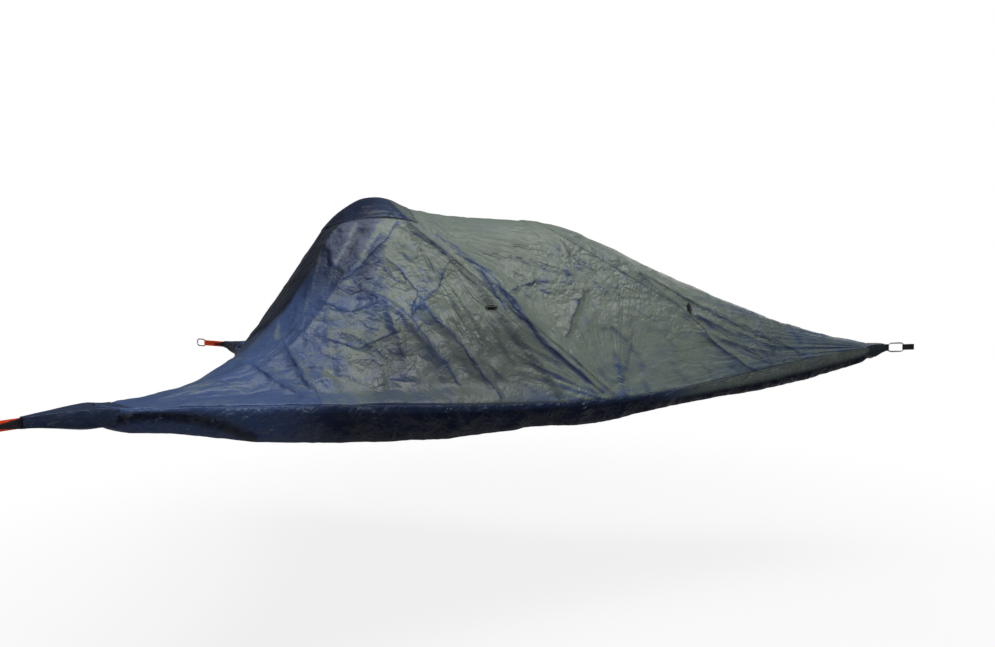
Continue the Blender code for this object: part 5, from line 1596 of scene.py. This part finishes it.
def make_floor():
    u, v = np.linspace(0, 1, 131), np.linspace(0, 1, 41)
    head, side = inner_head(v, FLOOR_HEIGHT), inner_side(u, FLOOR_HEIGHT)
    end = side[-1] * np.array([1, 0, 1])
    middle = toward(head[0], end, u) - UP * (SIDE_SAG * 4 * u * (1 - u))[:, None]
    half = coons(head, toward(end, side[-1], v), middle, side, u, v)
    width = np.linalg.norm(half[:, 0] - half[:, -1], axis=1) / (WIDTH / 2)
    half[:, :, 2] -= 0.05 * width[:, None] * np.sin(math.pi * v)[None] ** 2
    grid = whole(half)
    for point in grid.reshape(-1, 3):
        x, y = point[:2]
        point[2] += 0.004 * noise.noise((x * 2.5, y * 2.5, 1.0)) + 0.0016 * noise.noise((x * 9, y * 9, 2.0))
    seam, run = edge_paint(grid, ("first_column", "last_column"))
    paints = {"lit_tone": 0.5, "shade": 0.2, "seam": seam, "run": run, "band": 0.0, "loose": 0.3}
    cloth_piece("floor_cloth", grid, "floor", 0.001, "floor_cloth", "floor_panel", paints=paints)


def refined(node):
    """A solid of netting copied from the frame, welded and rounded."""
    data = nodes[node].data.copy()
    made = bpy.data.objects.new(f"{node}_net", data)
    bpy.context.scene.collection.objects.link(made)
    data.transform(nodes[node].matrix_world)
    worked(made, bpy.ops.mesh.remove_doubles, {"threshold": 0.00005})
    rounding = made.modifiers.new("rounding", "SUBSURF")
    rounding.levels = rounding.render_levels = 1
    apply(made)
    made.data.shade_smooth()
    made.data.materials.clear()
    made.data.materials.append(looks["net"])
    dressed(made, "tent", "black_mesh", node)


def finish_solids():
    """Finishes the solids that stay as they are."""
    kinds = {
        "pole": ("hoop_pole", "ferrule"), "nylon": ("foot_cup", "_clip_"),
        "black_solid": ("edge_webbing", "centre_strap"),
    }
    for name, item in nodes.items():
        for look, words in kinds.items():
            if any(word in name for word in words):
                item.data.materials.clear()
                item.data.materials.append(looks[look])
                if look != "black_solid":
                    item.data.shade_smooth()


# ---- What the sheets were cut to
HELD = {
    "fly_front_cloth": ("stretched", "main_hoop_pole"),
    "fly_side_cloth_right": ("stretched", "main_hoop_pole"), "fly_side_cloth_left": ("stretched", "main_hoop_pole"),
    "fly_middle_cloth": ("stretched", "main_hoop_pole", "rear_hoop_pole"),
    "fly_tail_cloth": ("stretched", "rear_hoop_pole"),
    "fly_hem_cloth_right": ("hung", "fly_side_cloth_right"), "fly_hem_cloth_left": ("hung", "fly_side_cloth_left"),
    "fly_hem_cloth_head": ("hung", "fly_front_cloth"), "fly_brim_cloth": ("stretched", "main_hoop_pole"),
    "fly_cuff_cloth_right": ("gathered", "edge_webbing_right"),
    "fly_cuff_cloth_left": ("gathered", "edge_webbing_left"),
    "fly_cuff_cloth_tail": ("gathered", "edge_webbing_right"),
    "floor_cloth": ("stretched", "edge_webbing_right", "edge_webbing_left", "edge_webbing_head"),
}


def declare_sheets():
    """Works out, for each sheet, the rectangle that its cut fits in and the cut's area."""
    for name, (held, *rests_on) in HELD.items():
        made, grid = CLOTHS[name]
        size = area_of(grid)
        down = float(run_lengths(grid[:, grid.shape[1] // 2])[-1])
        wide = float(np.linalg.norm(np.diff(grid, axis=1), axis=2).sum(1).max())
        # Rows that lie slantwise: two long triangles joined in the middle
        if size < 0.4 * down * wide:
            wide = 2 * size / down


# ---- Studio
def make_studio():
    bpy.ops.mesh.primitive_plane_add(size=60, location=(1.8, 0, -1.25))
    ground = bpy.context.object
    ground.name = "ground"
    look = Look("ground", 0.9, Base_Color=(0.86, 0.86, 0.86))
    camera, glass = (look.node("LightPath", out=f"Is {kind} Ray") for kind in ("Camera", "Transmission"))
    far = look.vectors("LENGTH", look.place(), out="Value")
    share = camera.maths("MAXIMUM", glass) * far.ramp(1.2, 4.5, 0.84, 1.0)
    glow = look.node("Emission", Color=(1, 1, 1))
    blend = look.node("MixShader", share, Value(look, look.shader.outputs[0]), glow)
    look.give(look.tree.nodes["Material Output"].inputs[0], blend)
    ground.data.materials.append(look.material)
    for name, spot, aim, size, power in (
        ("key", (3.4, -1.8, 4.6), (1.6, -0.1, 0.2), 2.2, 140),
        ("top", (0.5, -1.2, 4.8), (1.1, -0.3, 0.1), 2.6, 120),
        ("fill", (0.4, -5.4, 1.7), (1.4, 0.0, 0.2), 2.4, 45),
        ("back", (5.2, 3.4, 2.4), (1.8, 0.2, 0.1), 2.6, 40),
    ):
        data = bpy.data.lights.new(name, "AREA")
        data.size = size
        data.energy = power
        lamp = bpy.data.objects.new(name, data)
        bpy.context.scene.collection.objects.link(lamp)
        lamp.location = spot
        lamp.rotation_euler = (Vector(aim) - Vector(spot)).to_track_quat("-Z", "Y").to_euler()
    world = bpy.data.worlds.new("studio")
    bpy.context.scene.world = world
    world.use_nodes = True
    sky = Nodes(world.node_tree)
    soft = sky.tree.nodes["Background"]
    sky.give(soft.inputs["Color"], (0.86, 0.90, 1.0))
    sky.give(soft.inputs["Strength"], 0.10)
    white = sky.node("Background", Color=(1, 1, 1), Strength=1.0)
    seen = sky.node("LightPath", out="Is Camera Ray")
    blend = sky.node("MixShader", seen, Value(sky, soft.outputs[0]), white)
    sky.give(sky.tree.nodes["World Output"].inputs[0], blend)
    bpy.context.scene.view_settings.view_transform = "Standard"


set_camera()
make_fly()
for corner in ("right", "left", "tail"):
    make_cuff(corner)
    make_strap(corner)
    make_link(corner)
make_zip("fly", 0.03, 0.93)
make_zip("inner", 0.0, 1.0)
make_slider("fly")
make_slider("inner")
for place in ("front_right", "front_left", "rear_right", "rear_left"):
    make_toggle(place)
make_floor()
for node in ("inner_canopy", "inner_door"):
    refined(node)
finish_solids()
make_studio()
declare_sheets()
